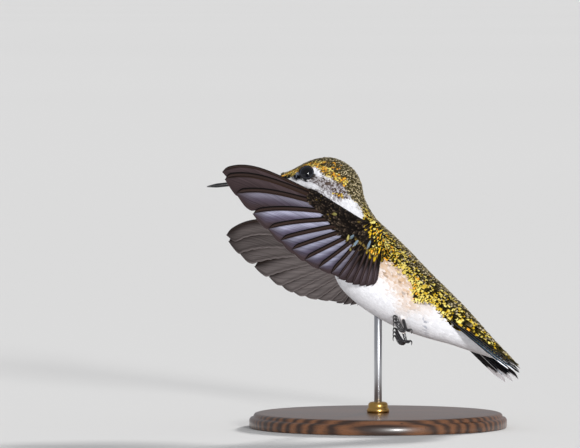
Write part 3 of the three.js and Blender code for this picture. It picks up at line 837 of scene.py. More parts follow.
def paint_underparts(marks, s, high, points, edge, tone):
    """White below, buff with a few dark streaks on the flanks, and painted grey shadow in the crease at the
    thighs.
    """
    under = ramp(high, edge + 0.04, edge - 0.04)
    buff = ramp(np.abs(s - 12.4), 2.6, 0.5) * ramp(high, edge - 0.85, edge - 0.2)
    flank = mix(tone, mix(BUFF, BUFF * 0.85, marks.luck), buff * (0.45 + 0.55 * marks.shade))
    streak = (marks.luck < 0.07) * buff * 0.5
    marks.paint(under, mix(flank * 0.97, CHEEK_DARK, streak), flank)
    # Painted shadow in the crease between belly and thigh, blue-grey over the white.
    marks.paint(under * spot(points, *CREASE_SHADOW_SPOT) * 0.6, LORE_GREY, LORE_GREY)


def paint_face(marks, s, points, tone):
    """White malar stripe, white spots behind the eye, and dark lores with grey flecks."""
    malar = np.maximum(spot(points, *MALAR_SPOT), spot(points, *CHEEK_EDGE_SPOT) * (marks.luck < 0.75))
    marks.paint(on_head(s) * malar, tone, tone)
    white = spots(points, WHITE_SPOTS)
    marks.paint(on_head(s) * white, WHITE, WHITE)
    marks.paint(on_head(s) * spots(points, DARK_SPOTS) * (1 - white), INK, INK * 1.5)
    marks.paint(on_head(s) * spot(points, *LORE_SPOT) * (marks.luck < 0.6), LORE_GREY, LORE_GREY)


# ---- small feathers

VANE_ALONG = np.array([0.0, 0.3, 0.56, 0.78, 0.93, 1.0])
VANE_WIDTH = np.array([0.4, 0.85, 1.0, 0.93, 0.64, 0.14])
VANE_ACROSS = np.array([-1.0, -0.7, 0.0, 0.7, 1.0, 0.0])
VANE_LIFT = np.array([-1.0, -0.31, 0.35, -0.31, -1.0, -0.9])
ARCH = 0.2  # height of a small feather's arch, of its half-width
PATCH = 0.003  # width of a feather's place on the bake's map
VANE_SEEDS = 61  # how many feathers differ in their barbs


def ring_quads(rings, sides):
    """Faces of one lofted vane with six-sided rings, closed at both ends."""
    body = grid_quads(rings, sides, closed=True)[:, ::-1]
    first = np.array([[0, 1, 2, 5], [2, 3, 4, 5]])
    last = (rings - 1) * sides + first[:, ::-1]
    return np.concatenate([body, first, last])


def add_vanes(part, spine, normal, half_width, marks, place, arch=ARCH):
    """Adds N small feathers. spine and normal are N x rings x 3, place is their N roots on the bake's map, and
    half_width and arch are N numbers or one for all."""
    count, rings = spine.shape[:2]
    tangent = unit(np.gradient(spine, axis=1))
    across, up = square_to(tangent, normal)
    width = np.reshape(half_width, (-1, 1)) * VANE_WIDTH * rng.normal(1, 0.05, (count, rings))
    points = (
        spine[:, :, None]
        + across[:, :, None] * (width[..., None] * VANE_ACROSS)[..., None]
        + up[:, :, None] * (np.reshape(arch, (-1, 1, 1)) * width[..., None] * VANE_LIFT)[..., None]
    )
    sides = len(VANE_ACROSS)
    offsets = np.arange(count)[:, None, None] * rings * sides
    local = pairs(0.5 + 0.4 * VANE_ACROSS, VANE_ALONG[:, None])
    seed = pairs(rng.integers(0, VANE_SEEDS, count), 0)
    per_feather = np.concatenate([marks.middle, marks.gloss[:, None]], axis=1)
    part.add(
        points,
        ring_quads(rings, sides) + offsets,
        Col=np.repeat(per_feather, rings * sides, 0),
        Rim=np.repeat(marks.rim, rings * sides, 0),
        Vane=(local + seed[:, None, None]).reshape(-1, 2),
        OFBake=(place[:, None, None] + (local - 0.5) * PATCH).reshape(-1, 2),
    )


# Between the feathers of a row at each station.
SPACING = [
    0.25, 0.27, 0.3, 0.32, 0.35, 0.4, 0.44, 0.46, 0.47, 0.48, 0.49, 0.5, 0.52, 0.54, 0.58, 0.63, 0.7, 0.76,
    0.8,
]
ROW_STEP = 1.05  # distance between rows, of the spacing in a row
LENGTH_TO_SPACING = 3.7
LONG_COVERTS = 1.5  # how much longer the tail coverts are


def coat_depth(s):
    return COAT_DEPTH * (0.45 + 0.55 * ramp(s, 1, 7))


def eye_socket(s, angle):
    """How far the plumage dips round the eye, to meet the lids."""
    points = body_point(s, angle)
    off = np.hypot(points[..., 0] - EYE["at"][0], points[..., 2] - EYE["at"][2])
    return 0.3 * ramp(off, 2.6, 1.5)


def coat_rows():
    """Roots of the feathers of head and body as stations and angles, in staggered rows."""
    stations, angles = [], []
    s, row = 0.03, 0
    ring = np.linspace(0, 2 * np.pi, 60)
    while s < LAST - 0.3:
        here = body_point(s, ring)
        around = np.linalg.norm(np.diff(here, axis=0), axis=1).sum()
        ahead = np.linalg.norm(body_point(s + 0.05, ring) - here, axis=1).mean() / 0.05
        spacing = float(smooth(SPACING, s))
        count = max(8, round(around / spacing))
        turn = (np.arange(count) + 0.5 * (row % 2) + rng.normal(0, 0.12, count)) * 2 * np.pi / count
        stations.append(s + rng.normal(0, 0.12, count) * spacing / ahead)
        angles.append(turn)
        s += ROW_STEP * spacing / ahead
        row += 1
    return np.clip(np.concatenate(stations), 0.01, LAST), np.concatenate(angles) % (2 * np.pi)


def body_vanes(s, angle, length, half_width, raised, steep):
    """Spines, normals, half-widths and marks of feathers that lie tailwards on head or body.
    The higher steep is, the nearer to their roots they come out of the coat."""
    along, around, _ = surface_frame(body_point, s, angle)
    step_s = np.minimum(length / np.linalg.norm(along, axis=1), LAST + 1.0 - s)
    drift = rng.normal(0, 0.1, len(s)) * length / np.linalg.norm(around, axis=1)
    u = VANE_ALONG[None]
    at_s, at_angle = s[:, None] + step_s[:, None] * u, angle[:, None] + drift[:, None] * u
    sunk = coat_depth(s)[:, None] * (1 - u) ** steep[:, None]
    grow = raised[:, None] * u**2 - sunk - eye_socket(at_s, at_angle)
    _, _, normal = surface_frame(body_point, at_s, at_angle)
    return body_point(at_s, at_angle, grow), normal, half_width, body_markings(s + 0.75 * step_s, angle)


# Name, first and last station, and half of the cross-section of each piece of the coat.
COAT_PIECES = [
    ("face", 0, 5.0, ""),
    ("crown", 5.0, 8.4, ""),
    ("neck", 8.4, 10.8, ""),
    ("back", 10.8, 15.0, "upper"),
    ("belly", 10.8, 15.0, "lower"),
    ("tail_coverts", 15.0, LAST + 1, ""),
]


def coat_pieces(material):
    s, angle = coat_rows()
    points = body_point(s, angle)
    off = np.stack([points, mirrored(points)]) - np.array(EYE["at"])
    to_eye = np.linalg.norm(off, axis=-1).min(axis=0)
    keep = to_eye > EYE["r"] + 0.1
    s, angle, to_eye = s[keep], angle[keep], to_eye[keep]
    high, _ = section_shape(angle)

    spacing = smooth(SPACING, s)
    near_eye = ramp(to_eye, 3.4, 2.1)
    edge = smooth(WHITE_EDGE, 2 * s)
    below = ramp(high, edge + 0.05, edge - 0.25) * ramp(s, 7.5, 9)
    length = spacing * LENGTH_TO_SPACING * (1 + 0.3 * below) * (1 - 0.4 * near_eye)
    length = length * (1 + (LONG_COVERTS - 1) * ramp(s, 14.5, 16)) * rng.normal(1, 0.1, len(s))
    half_width = spacing * (0.63 + 0.07 * below) * (1 - 0.2 * near_eye)
    raised = rng.normal(0.03, 0.045, len(s)) * (1 - 0.85 * below) * (1 - 0.6 * near_eye)
    arch = ARCH * (1 - 0.5 * below)
    steep = 1.3 + 1.3 * below
    place = pairs(angle / (2 * np.pi), (s + 1) / (LAST + 3))
    for name, start, end, half in COAT_PIECES:
        chosen = (s >= start) & (s < end)
        if half:
            chosen = chosen & ((high > 0) == (half == "upper"))
        part = Part()
        values = (v[chosen] for v in (s, angle, length, half_width, raised, steep))
        add_vanes(part, *body_vanes(*values), place[chosen], arch[chosen])
        ride(part.make(f"coat_{name}", material), "plumage")


# ---- places on the body

LIE = unit(np.array([0.74, 0.0, -0.67]))  # the direction in which the shoulder's feathers lie


def body_samples():
    """Stations and angles all over head and body, and a search tree of their points."""
    s, angle = np.meshgrid(np.linspace(0, LAST, 220), np.linspace(0, 2 * np.pi, 140))
    s, angle = s.ravel(), angle.ravel()
    tree = KDTree(len(s))
    for i, point in enumerate(body_point(s, angle)):
        tree.insert(point, i)
    tree.balance()
    return s, angle, tree


SAMPLE_S, SAMPLE_ANGLE, SAMPLE_TREE = body_samples()


def nearest_on_body(points):
    """The sample of head or body nearest each point, and how far off it is."""
    found = np.array([SAMPLE_TREE.find(point)[1:] for point in points.reshape(-1, 3)])
    return found[:, 0].astype(int).reshape(points.shape[:-1]), found[:, 1].reshape(points.shape[:-1])


def on_body(points):
    """The places of the plumage's surface nearest each point, and the outward normals there."""
    nearest, _ = nearest_on_body(points)
    s, angle = SAMPLE_S[nearest], SAMPLE_ANGLE[nearest]
    return body_point(s, angle), surface_frame(body_point, s, angle)[2]


# ---- wing coverts


def root_feather(p):
    """Which flight feather's root lies at p along the wing, as a fractional number."""
    t = np.clip((p - WRIST[0]) / (HAND_TIP[0] - WRIST[0]), 0, 1) ** (1 / ROOT_CROWDING)
    v = np.clip((WRIST[0] - p) / (WRIST[0] - ELBOW[0]), 0, 1.2)
    return np.where(p >= WRIST[0], 1 + (PRIMARIES - 1) * t, 1 - SECONDARIES * v)


def wing_lie(p, q):
    """The direction in which the coverts lie at p and q, in radians behind the span."""
    a = root_feather(p)
    primary = np.radians(smooth(PRIMARY_ANGLES, np.clip(a, 1, PRIMARIES) - 1))
    beyond = np.radians(SECONDARY_ANGLE - PRIMARY_ANGLES[0]) * np.clip(1 - a, 0, 7.2) / SECONDARIES
    return (primary + beyond) * (0.4 + 0.6 * flesh_share(p, q))


COVERT_OVERLAP = 2.5  # how far the coverts reach over the flight feathers
COVERT_EDGE_HALF = 0.16  # half-thickness of coverts and flight feathers there
COVERT_SINK = 0.34  # depth of a covert's root


def covert_height(p, q):
    """Height of the wing's covert-clad surface over its middle surface."""
    past = np.clip((q - covert_edge(p)) / COVERT_OVERLAP, 0, 1)
    return flesh_half(p, q) * (1 - past) + COVERT_EDGE_HALF * past


def wing_spine(side, p, q, height, face=1):
    """Points over the dorsal (face 1) or ventral (-1) side of a wing, and the directions out of it there."""
    spine = on_wing(side, wing_point(p, q, face * height))
    above = on_wing(side, wing_point(p, q, face * (height + 0.1)))
    return spine, unit(above - spine)


def wing_place(p, q, face=1):
    """The place on the bake's map of a feather rooted at p and q."""
    return pairs((p + 6) / 40, (q + 8) / 36 + (0.5 if face < 0 else 0))


def add_coverts(part, side, face, p, q, length, half_width, marks):
    """Small feathers rooted at p and q on the dorsal (face 1) or ventral (-1) side of a wing."""
    count = len(p)
    angle = wing_lie(p, q) + rng.normal(0, 0.06, count)
    u = VANE_ALONG[None]
    at_p = p[:, None] + (length * np.cos(angle))[:, None] * u
    at_q = q[:, None] + (length * np.sin(angle))[:, None] * u
    raised = rng.normal(0.06, 0.03, count)[:, None]
    at_q = np.maximum(at_q, leading_edge(at_p) + 0.2)
    height = covert_height(at_p, at_q) - COVERT_SINK * (1 - u) ** 1.2 + raised * u
    add_vanes(part, *wing_spine(side, at_p, at_q, height, face), half_width, marks, wing_place(p, q, face))


def covert_marks(face, p, q):
    """Dark brown-black coverts with olive edges, golden towards the shoulder; grey on the ventral side."""
    marks = Marks(len(p))
    if face < 0:
        edge = ramp(q - leading_edge(p), 1.2, 0.2)
        middle = mix(COVERT_GREY * 0.7, COVERT_GREY, marks.shade)
        rim = mix(COVERT_GREY, WHITE * 0.8, 0.4 * marks.luck)
        marks.paint(1.0, mix(middle, COVERT_DARK * 2, edge), mix(rim, COVERT_DARK * 3, edge))
        return marks
    near = ramp(p, 4.5, -1.5)
    dark = mix(COVERT_DARK * 0.8, COVERT_DARK * 4, marks.shade**3)
    gold = GOLD * (1 - 0.45 * ramp(q, 2.0, 3.5))[:, None]
    middle = pick(marks.luck, 0.03 + 0.3 * near, mix(COVERT_OLIVE * 0.8, gold, near), dark)
    rim = mix(dark * 1.5, mix(COVERT_BROWN, COVERT_OLIVE * 0.7, near), marks.shade**2 * 0.55)
    marks.paint(1.0, middle, rim, 0.15 + 0.4 * near)
    return marks


LESSER_SPACING = 0.55
LESSER_STEP = 0.115  # between rows, of the depth of the fleshy front


def lesser_coverts(part, side, face):
    """Staggered rows from the leading edge back, smallest at the front."""
    row, v = 0, 0.0
    while v < 0.97:
        start = ARM_FROM + (0.3 if face > 0 else 3.0)
        p = np.arange(start, 19.5, LESSER_SPACING) + 0.5 * LESSER_SPACING * (row % 2)
        p = p + rng.normal(0, 0.08, len(p))
        depth = covert_edge(p) - leading_edge(p)
        q = leading_edge(p) + 0.15 + (depth - 0.2) * v
        roomy = depth > 0.7 + row * 0.12
        p, q = p[roomy], q[roomy]
        length = (2.6 + 1.6 * v) * (1 - 0.2 * ramp(p, 8, 18)) * rng.normal(1, 0.08, len(p))
        half_width = LESSER_SPACING * (0.5 + 0.1 * v)
        add_coverts(part, side, face, p, q, length, half_width, covert_marks(face, p, q))
        v += LESSER_STEP
        row += 1


EDGE_SPACING = 0.6
EDGE_LENGTH = 1.5
EDGE_HALF_WIDTH = 0.4


def edge_coverts(part, side):
    """Tiny feathers wrapped round the leading edge, lying out along it."""
    for turn in np.radians([-60, -20, 20, 60]):
        p = np.arange(ARM_FROM + 0.2, 20, EDGE_SPACING)
        p = p + rng.normal(0, 0.06, len(p))
        u = VANE_ALONG[None]
        at_p = p[:, None] + EDGE_LENGTH * u
        radius = flesh_half(at_p, leading_edge(at_p)) + 0.04 - 0.22 * (1 - u)
        at_q = leading_edge(at_p) + 0.2 - radius * math.cos(turn) * 0.3
        spine = on_wing(side, wing_point(at_p, at_q, radius * math.sin(turn)))
        outer = wing_point(at_p, at_q - 0.1 * math.cos(turn), (radius + 0.1) * math.sin(turn))
        normal = unit(on_wing(side, outer) - spine)
        marks = covert_marks(1, p, leading_edge(p) + 1)
        add_vanes(part, spine, normal, EDGE_HALF_WIDTH, marks, pairs((p + 6) / 40, 0.45 + 0.01 * turn))


def greater_coverts(part, side, face):
    """One covert over the root of each flight feather and one between each two."""
    a = np.arange((0.75 if face > 0 else 1.75) - SECONDARIES, PRIMARIES - 0.4, 0.5)
    root = np.array([shaft(k, -0.02) for k in a])
    p, q = root[:, 0], root[:, 1]
    outer = ramp(a, 1, PRIMARIES)
    length = 4.2 + 2.0 * outer + rng.normal(0, 0.15, len(a))
    marks = covert_marks(face, p, q)
    if face > 0:
        inner = ramp(a, 2.2, 0.6)
        marks.paint(1.0, COVERT_DARK, COVERT_DARK * 1.4, 0.2)
        marks.paint(inner, COVERT_DARK, COVERT_OLIVE, 0.3)
    add_coverts(part, side, face, p, q - 0.3, length, 0.75 - 0.15 * outer, marks)


# The root and the tip of each pale streak on the wing's sheet, and its colour.
STREAKS = [
    ((1.1, 2.5), (2.4, 5.5), SHEEN_BLUE * 0.7),
    ((4.6, 2.9), (7.1, 6.1), SHEEN_BLUE),
    ((6.3, 2.5), (8.4, 4.5), SHEEN_BLUE * 0.6),
    ((8.1, 3.0), (8.9, 5.1), SHEEN_YELLOW * 0.8),
    ((7.0, 5.9), (7.5, 7.0), SHEEN_YELLOW * 0.5),
    ((12.4, -0.4), (14.6, 0.1), SHEEN_YELLOW * 0.4),
]
STREAK_FAN = np.array([-0.24, 0.0, 0.24])[:, None]  # how far to the side the tips of its three feathers lie
STREAK_HALF_WIDTH = 0.19


def sheen_streaks(part, side):
    """Narrow coverts that catch the light in blue and pale yellow between the dark ones."""
    u = VANE_ALONG[None]
    for root, tip, colour in STREAKS:
        root, step = np.array(root), np.subtract(tip, root)
        aside = np.array([-step[1], step[0]]) / np.hypot(*step)
        reach = u * (1 - 0.7 * np.abs(STREAK_FAN))
        at_p = root[0] + step[0] * reach + aside[0] * STREAK_FAN * u
        at_q = root[1] + step[1] * reach + aside[1] * STREAK_FAN * u
        height = covert_height(at_p, at_q) + 0.3 - 0.5 * (1 - u) ** 2
        marks = Marks(len(STREAK_FAN))
        tone = mix(colour * 0.7, colour * 1.2, marks.shade)
        marks.paint(1.0, tone, COVERT_OLIVE * 0.7, 0.1)
        place = wing_place(at_p[:, 0], at_q[:, 0])
        add_vanes(part, *wing_spine(side, at_p, at_q, height), STREAK_HALF_WIDTH, marks, place)


OUTWARD = {"left": -1.0, "right": 1.0}
PATCH_COLUMNS = 14


def shoulder_patch(side):
    """A smooth patch of 4 curves from the arm's dorsal side over its inner end onto the back."""
    q = np.linspace(-1.6, 5.8, PATCH_COLUMNS)
    on_arm = [
        on_wing(side, wing_point(np.full_like(q, p), q, covert_height(np.full_like(q, p), q) + 0.02))
        for p in (1.6, -1.2)
    ]
    behind = []
    for reach in (3.6, 7.2):
        nearest, _ = nearest_on_body(on_arm[1] + LIE * reach)
        behind.append(body_point(SAMPLE_S[nearest], SAMPLE_ANGLE[nearest], 0.05))
    return np.stack(on_arm + behind)


def patch_point(patch, w, k):
    """A point of a patch, w across its curves and k along them."""
    along = smooth(np.moveaxis(patch, 1, 0), k.ravel())
    i = np.arange(len(along))
    across = np.stack([smooth(along[j], w.ravel()[j]) for j in i])
    return across.reshape(*w.shape, 3)


SCAPULAR_ROWS, SCAPULAR_COLUMNS = 14, 20
SCAPULARS_TO = 2.4  # how far over the patch their roots reach
SCAPULAR_SPACING = 0.55
SCAPULAR_LENGTH = 1.9
SCAPULAR_HALF_WIDTH = 0.38
SCAPULAR_SINK = 0.4


def patch_stretch(patch, w, k, step_w, step_k):
    """Millimetres per unit of w or k at points of a patch."""
    moved = patch_point(patch, w + step_w, k + step_k) - patch_point(patch, w, k)
    return np.linalg.norm(moved, axis=1) / (step_w + step_k)


def scapulars(part, side):
    """Golden feathers over the shoulder, from the arm onto the back."""
    patch = shoulder_patch(side)
    across = np.linspace(0.0, SCAPULARS_TO, SCAPULAR_ROWS)
    along = np.linspace(0.2, PATCH_COLUMNS - 1.4, SCAPULAR_COLUMNS)
    w, k = np.meshgrid(across, along, indexing="ij")
    k = k + 0.3 * (np.arange(SCAPULAR_ROWS) % 2)[:, None] + rng.normal(0, 0.1, k.shape)
    w = w + rng.normal(0, 0.04, w.shape)
    w, k = w.ravel(), np.clip(k.ravel(), 0, PATCH_COLUMNS - 1)
    spread = patch_stretch(patch, w, k, 0, 0.1)
    kept = (w < SCAPULARS_TO - 1.2 * ramp(k, 8, 11)) & (rng.random(len(w)) < spread / SCAPULAR_SPACING)
    w, k = w[kept], k[kept]
    u = VANE_ALONG[None]
    reach = np.clip(SCAPULAR_LENGTH / patch_stretch(patch, w, k, 0.1, 0), 0.2, 0.7)
    at_w, at_k = w[:, None] + reach[:, None] * u, k[:, None] + 0.3 * u
    spine = patch_point(patch, at_w, at_k)
    ahead = patch_point(patch, at_w + 0.05, at_k) - spine
    beside = patch_point(patch, at_w, at_k + 0.05) - spine
    normal = unit(np.cross(ahead, beside))
    normal = normal * np.sign(normal[..., 1:2] * OUTWARD[side])
    spine = spine + normal * (0.12 * u - SCAPULAR_SINK * (1 - u) ** 1.3)[..., None]
    marks = Marks(len(w))
    # Mostly dark feathers of painted shade, between orange-gold flecks.
    marks.paint_gold(1.0, 0.66, 0.55)
    low = (k > 10.0) & (marks.luck < 0.75)
    marks.paint(low * 0.75, mix(COVERT_OLIVE * 0.6, GOLD * 0.6, marks.shade), OLIVE_BLACK, 0.3)
    place = pairs(0.05 + 0.2 * k / (PATCH_COLUMNS - 1), 0.9 + 0.02 * w)
    add_vanes(part, spine, normal, SCAPULAR_HALF_WIDTH, marks, place)


def wing_coverts(side, material):
    for face, name in ((1, "dorsal"), (-1, "ventral")):
        part = Part()
        greater_coverts(part, side, face)
        lesser_coverts(part, side, face)
        if face > 0:
            edge_coverts(part, side)
            sheen_streaks(part, side)
            scapulars(part, side)
        ride(part.make(f"coverts_{side}_{name}", material), "plumage")


# ---- skin


def wing_flesh(inset):
    """The fleshy front of the right wing, thinner than its plumage by the inset."""
    p = np.linspace(ARM_FROM, SKIN_TO, 40)[:, None]
    v = np.linspace(0, 1, 14)[None, :]
    q = leading_edge(p) + inset + (covert_edge(p) - leading_edge(p) - 1.6 * inset) * v
    half = flesh_half(p, q, inset)
    faces = [wing_point(np.broadcast_to(p, q.shape), q, side * half) for side in (1, -1)]
    return np.stack(faces), plate_quads(*q.shape)


SKIN_VOXEL = 0.25
SKIN_SMOOTHING = 4
FLESH_INSET = 0.3  # depth of the wing's skin in its coverts


def skin_piece(material):
    """One skin over head, body and the fleshy parts of both wings."""
    part = Part()
    ring = np.linspace(0, 2 * np.pi, 64, endpoint=False)
    s = np.linspace(0, LAST, 140)[:, None]
    part.add(*capped(body_point(s, ring[None], -coat_depth(s))))
    flesh, quads = wing_flesh(FLESH_INSET)
    for side in ("left", "right"):
        part.add(on_wing(side, flesh), quads)
        part.add(*shoulder_flesh(side))
    skin = part.make("skin", material)
    remesh = skin.modifiers.new("remesh", "REMESH")
    remesh.mode = "VOXEL"
    remesh.voxel_size = SKIN_VOXEL * MM
    relax = skin.modifiers.new("relax", "SMOOTH")
    relax.iterations = SKIN_SMOOTHING
    graph = bpy.context.evaluated_depsgraph_get()
    mesh = bpy.data.meshes.new_from_object(skin.evaluated_get(graph))
    skin.modifiers.clear()
    skin.data = mesh
    mesh.shade_smooth()
    paint_skin(mesh)
    return skin


SHOULDER_DEPTHS = (0.55, 2.0)  # of the plate's outer and inner side under the feathers


def shoulder_flesh(side):
    """A plate under the scapulars that fills the step between arm and back."""
    patch = shoulder_patch(side)
    w, k = np.meshgrid(np.linspace(0, 3, 12), np.arange(PATCH_COLUMNS), indexing="ij")
    top = patch_point(patch, w, k)
    outward = np.array([0, OUTWARD[side], 0])
    return np.stack([top - depth * outward for depth in SHOULDER_DEPTHS]), plate_quads(*w.shape)


def paint_skin(mesh):
    """Colours the skin with the markings of the feathers over it."""
    count = len(mesh.vertices)
    points = np.empty(count * 3)
    mesh.vertices.foreach_get("co", points)
    nearest, distance = nearest_on_body(from_world(points.reshape(-1, 3)))
    marks = body_markings(SAMPLE_S, SAMPLE_ANGLE)
    colour = ((marks.middle + marks.rim) / 2)[nearest]
    colour = mix(colour, COVERT_DARK, ramp(distance, 1.2, 2.4))
    rows = np.concatenate([colour * 0.85, np.ones((count, 1))], axis=1)
    layer = mesh.color_attributes.new("Col", "FLOAT_COLOR", "POINT")
    layer.data.foreach_set("color", rows.astype(np.float32).ravel())


# ---- flight feathers

# Where a quill's points lie across it: -1 is the leading edge, 0 the shaft and 1 the trailing edge.
ACROSS = np.array([-1, -0.8, -0.55, -0.3, -0.1, 0, 0.05, 0.1, 0.17, 0.25, 0.34, 0.44, 0.56, 0.7, 0.85, 1.0])
QUILL_ROWS = 60
QUILL_HALF = 0.035  # half-thickness of a vane
LEAST_VANE = 0.02
VANE_CAMBER = 0.05
FRONT_BLUNT = 2.2  # length of the rounding of the leading vane's tip
TIP_CUT = [3.2, 4.2, 4.3, 4.0, 3.8, 4.0, 4.3, 4.2, 3.0, 2.6]  # of the trailing vane's, for the primaries
SECONDARY_CUT = 1.8
WING_TILT = 0.22  # how far a leading edge rides over its neighbour
TAIL_TILT = -0.05
TAIL_WIDTHS = (1.6, 1.0)
TAIL_CUT = 4.2
TAIL_LAYER = 0.2  # height of a pair of tail feathers over the next pair out


def vane_base(u):
    """How wide a flight feather is along it, of its full width, before its tip is rounded."""
    return 0.35 + 0.65 * ramp(u, 0.0, 0.3)


def vane_reach(u, length, front, back, blunt):
    """Widths of a flight feather's leading and trailing vanes along it; blunt is the rounding of its tip."""
    to_tip = (1 - u) * length
    leading = front * vane_base(u) * (1 - (1 - np.clip(to_tip / FRONT_BLUNT, 0, 1)) ** 2)
    trailing = back * vane_base(u) * (1 - (1 - np.clip(to_tip / blunt, 0, 1)) ** 1.8)
    return leading + LEAST_VANE, trailing + LEAST_VANE


def add_quill(part, path, lay, widths, blunt, tilt, level, colours, seed, strips):
    """One flight feather: two vanes as one thin plate, and its shaft.
    path(u) gives two coordinates on a surface, lay(a, b, height) the point, widths the leading and trailing
    half-widths, tilt how far the leading edge rides over its neighbour, colours(u, x, face) its colours, and
    strips is how many feathers share the bake's map."""
    u = 1 - (1 - np.linspace(0.0, 0.998, QUILL_ROWS)) ** 1.25
    a, b = path(u)
    da, db = np.gradient(a), np.gradient(b)
    size = np.hypot(da, db)
    leading, trailing = vane_reach(u, size.sum(), *widths, blunt)
    trailing = trailing * (1 + 0.015 * np.sin(u * 70 + 2.3 * seed) * ramp(u, 0.3, 0.6))
    x = np.broadcast_to(ACROSS, (QUILL_ROWS, len(ACROSS)))
    reach = np.where(x < 0, x * leading[:, None], x * trailing[:, None])
    at_a = a[:, None] - (db / size)[:, None] * reach
    at_b = b[:, None] + (da / size)[:, None] * reach
    slope = tilt * vane_base(u)[:, None]
    height = level - slope * np.where(x < 0, 0.6 * x, x) - VANE_CAMBER * x**2
    faces = np.stack([lay(at_a, at_b, height + QUILL_HALF), lay(at_a, at_b, height - QUILL_HALF)])
    vane = pairs(seed + 0.5 + 0.4 * x, u[:, None])
    strip = [
        pairs((2 * seed + face + 0.5 + 0.45 * x) / (2 * strips), 0.01 + 0.98 * u[:, None]) for face in (0, 1)
    ]
    part.add(
        faces,
        plate_quads(*x.shape),
        Col=np.stack([colours(u[:, None], x, face) for face in (1, -1)]).reshape(-1, 3),
        Vane=np.stack([vane, vane]).reshape(-1, 2),
        OFBake=np.stack(strip).reshape(-1, 2),
    )
    add_shaft(part, lay(a, b, np.full(len(a), level)), 0.05 * max(widths), colours.shaft, seed, strips)


def add_shaft(part, path, thick, colour, seed, strips):
    """The tapering shaft of a flight feather along a path of points."""
    path = path[:-2:2]
    share = np.linspace(0, 1, len(path))
    points, quads, tris = tube(path, thick * (1 - share) ** 0.8 + 0.03, 8)
    bake = [(2 * seed + 0.98) / (2 * strips), 0.5]
    part.add(points, quads, tris, Col=colour, Vane=[seed + 0.5, 0.5], OFBake=bake)


def layered(base, x, *layers):
    """A base colour at every x under layers of other colours, each with its shares."""
    colour = np.broadcast_to(base, (*x.shape, 3))
    for over, share in layers:
        colour = mix(colour, over, share)
    return colour


class WingColours:
    """Colours of a wing feather: dark leading vane edged with a painted shadow line, violet-grey trailing vane
    with a painted lavender sheen next to the shaft, and grey-brown below.
    """

    shaft = WING_BROWN

    def __init__(self, a):
        self.dull = float(ramp(a, 6.3, 9.2)) if a > 2 else 0.9 * float(ramp(a, 2.5, -0.5))
        self.inner = float(ramp(a, 1.5, -2.0))
        # How strong the painted sheen is, weaker on the inner flight feathers.
        self.shine = 1 - 0.3 * float(ramp(a, 6.9, 5.0))

    def __call__(self, u, x, face):
        if face < 0:
            lit = ramp(x, 0.0, 0.55) * (1 - 0.5 * ramp(x, 0.7, 0.9)) * (1 - 0.45 * self.dull)
            return layered(
                UNDER_EDGE, x,
                (UNDER_VANE, lit),
                (UNDER_VANE * 1.5, ramp(x, 0.86, 0.93) * 0.7),
                (UNDER_EDGE * 0.8, (0.5 - 0.4 * self.inner) * ramp(u, 0.85, 1.0)),
            )
        # Painted sheen highlight by the shaft, duller on the outer primaries.
        bright = mix(WING_SHEEN_HIGHLIGHT * self.shine, WING_EDGE * 1.1, self.dull)
        colour = layered(
            bright, x,
            (mix(WING_VANE * self.shine, WING_EDGE * 0.85, self.dull), ramp(x, 0.1, 0.42)),
            (WING_EDGE * (1 - 0.35 * self.dull), ramp(x, 0.35, 0.8)),
            (WING_EDGE * 0.75, ramp(u, 0.78, 1.0) * 0.8),
        )
        return layered(
            mix(colour, colour * 0.55, ramp(u, 0.35, 0.1) * self.dull), x,
            (COVERT_DARK, ramp(u, 0.75, 0.5) * min(1, 1.6 * self.inner)),
            (WING_LINE_AND_SHADOW, ramp(x, 0.06, 0.02)),
            (mix(WING_DARK, WING_EDGE, self.inner), ramp(x, -0.1, -0.3)),
            # Painted shadow line along the leading edge, where the neighbouring feather meets it.
            (WING_LINE_AND_SHADOW, ramp(x, -0.5, -0.72) * (1 - 0.7 * self.inner)),
        )


def vane_widths(a):
    """Widths of the leading and the trailing vane of a wing feather."""
    if a == PRIMARIES:
        return 0.55, 3.2
    if a >= 1:
        t = (a - 1) / (PRIMARIES - 1)
        return 0.85 + 0.2 * t, 3.5 + 0.9 * t
    return 0.6, 1.2 if a == 1 - SECONDARIES else 2.3


def wing_feathers(side, material):
    part = Part()

    def lay(p, q, height):
        return on_wing(side, wing_point(p, q, height))

    for seed, a in enumerate(range(1 - SECONDARIES, PRIMARIES + 1)):
        cut = TIP_CUT[a - 1] if a >= 1 else SECONDARY_CUT
        add_quill(
            part, partial(shaft, a), lay, vane_widths(a), cut, WING_TILT, 0.0, WingColours(a), seed,
            SECONDARIES + PRIMARIES,
        )
    piece = part.make(f"wing_{side}_feathers", material)
    return ride(piece, "flight_feathers", f"wing_{side}_primaries", f"wing_{side}_secondaries")


class TailColours:
    """Black tail feathers, green in the middle pair and white at the tips of the outer three pairs."""

    def __init__(self, order):
        self.order = order
        self.shaft = TAIL_SHAFT if order > 2 else TAIL_BLACK
        self.white_from = {5: 0.78, 4: 0.83, 3: 0.91}.get(order, 2.0)

    def __call__(self, u, x, face):
        green = OLIVE * 0.9 if face > 0 else OLIVE * 0.3
        base = green if self.order == 1 else mix(TAIL_BLACK, green, 0.5 * float(ramp(self.order, 3, 1)))
        streak = ramp(x, -0.2, -0.4) * ramp(x, -0.8, -0.6)
        sheen = streak * float(ramp(self.order, 3, 5)) * (face > 0) * ramp(u, 0.2, 0.5)
        pale_edge = ramp(x, -0.8, -0.95) * (self.order == TAIL_PAIRS) * (face < 0)
        cut = u - 0.09 * ramp(x, 0.1, -0.3) - 0.1 * (face > 0)
        white = ramp(cut, self.white_from - 0.015, self.white_from + 0.015)
        return layered(base, x, (TEAL, sheen * 0.8), (WHITE * 0.7, pale_edge), (WHITE * 1.1, white))


def tail_lay(outward, along, across, height):
    return tail_point(along, across, height) * np.array([1, outward, 1])


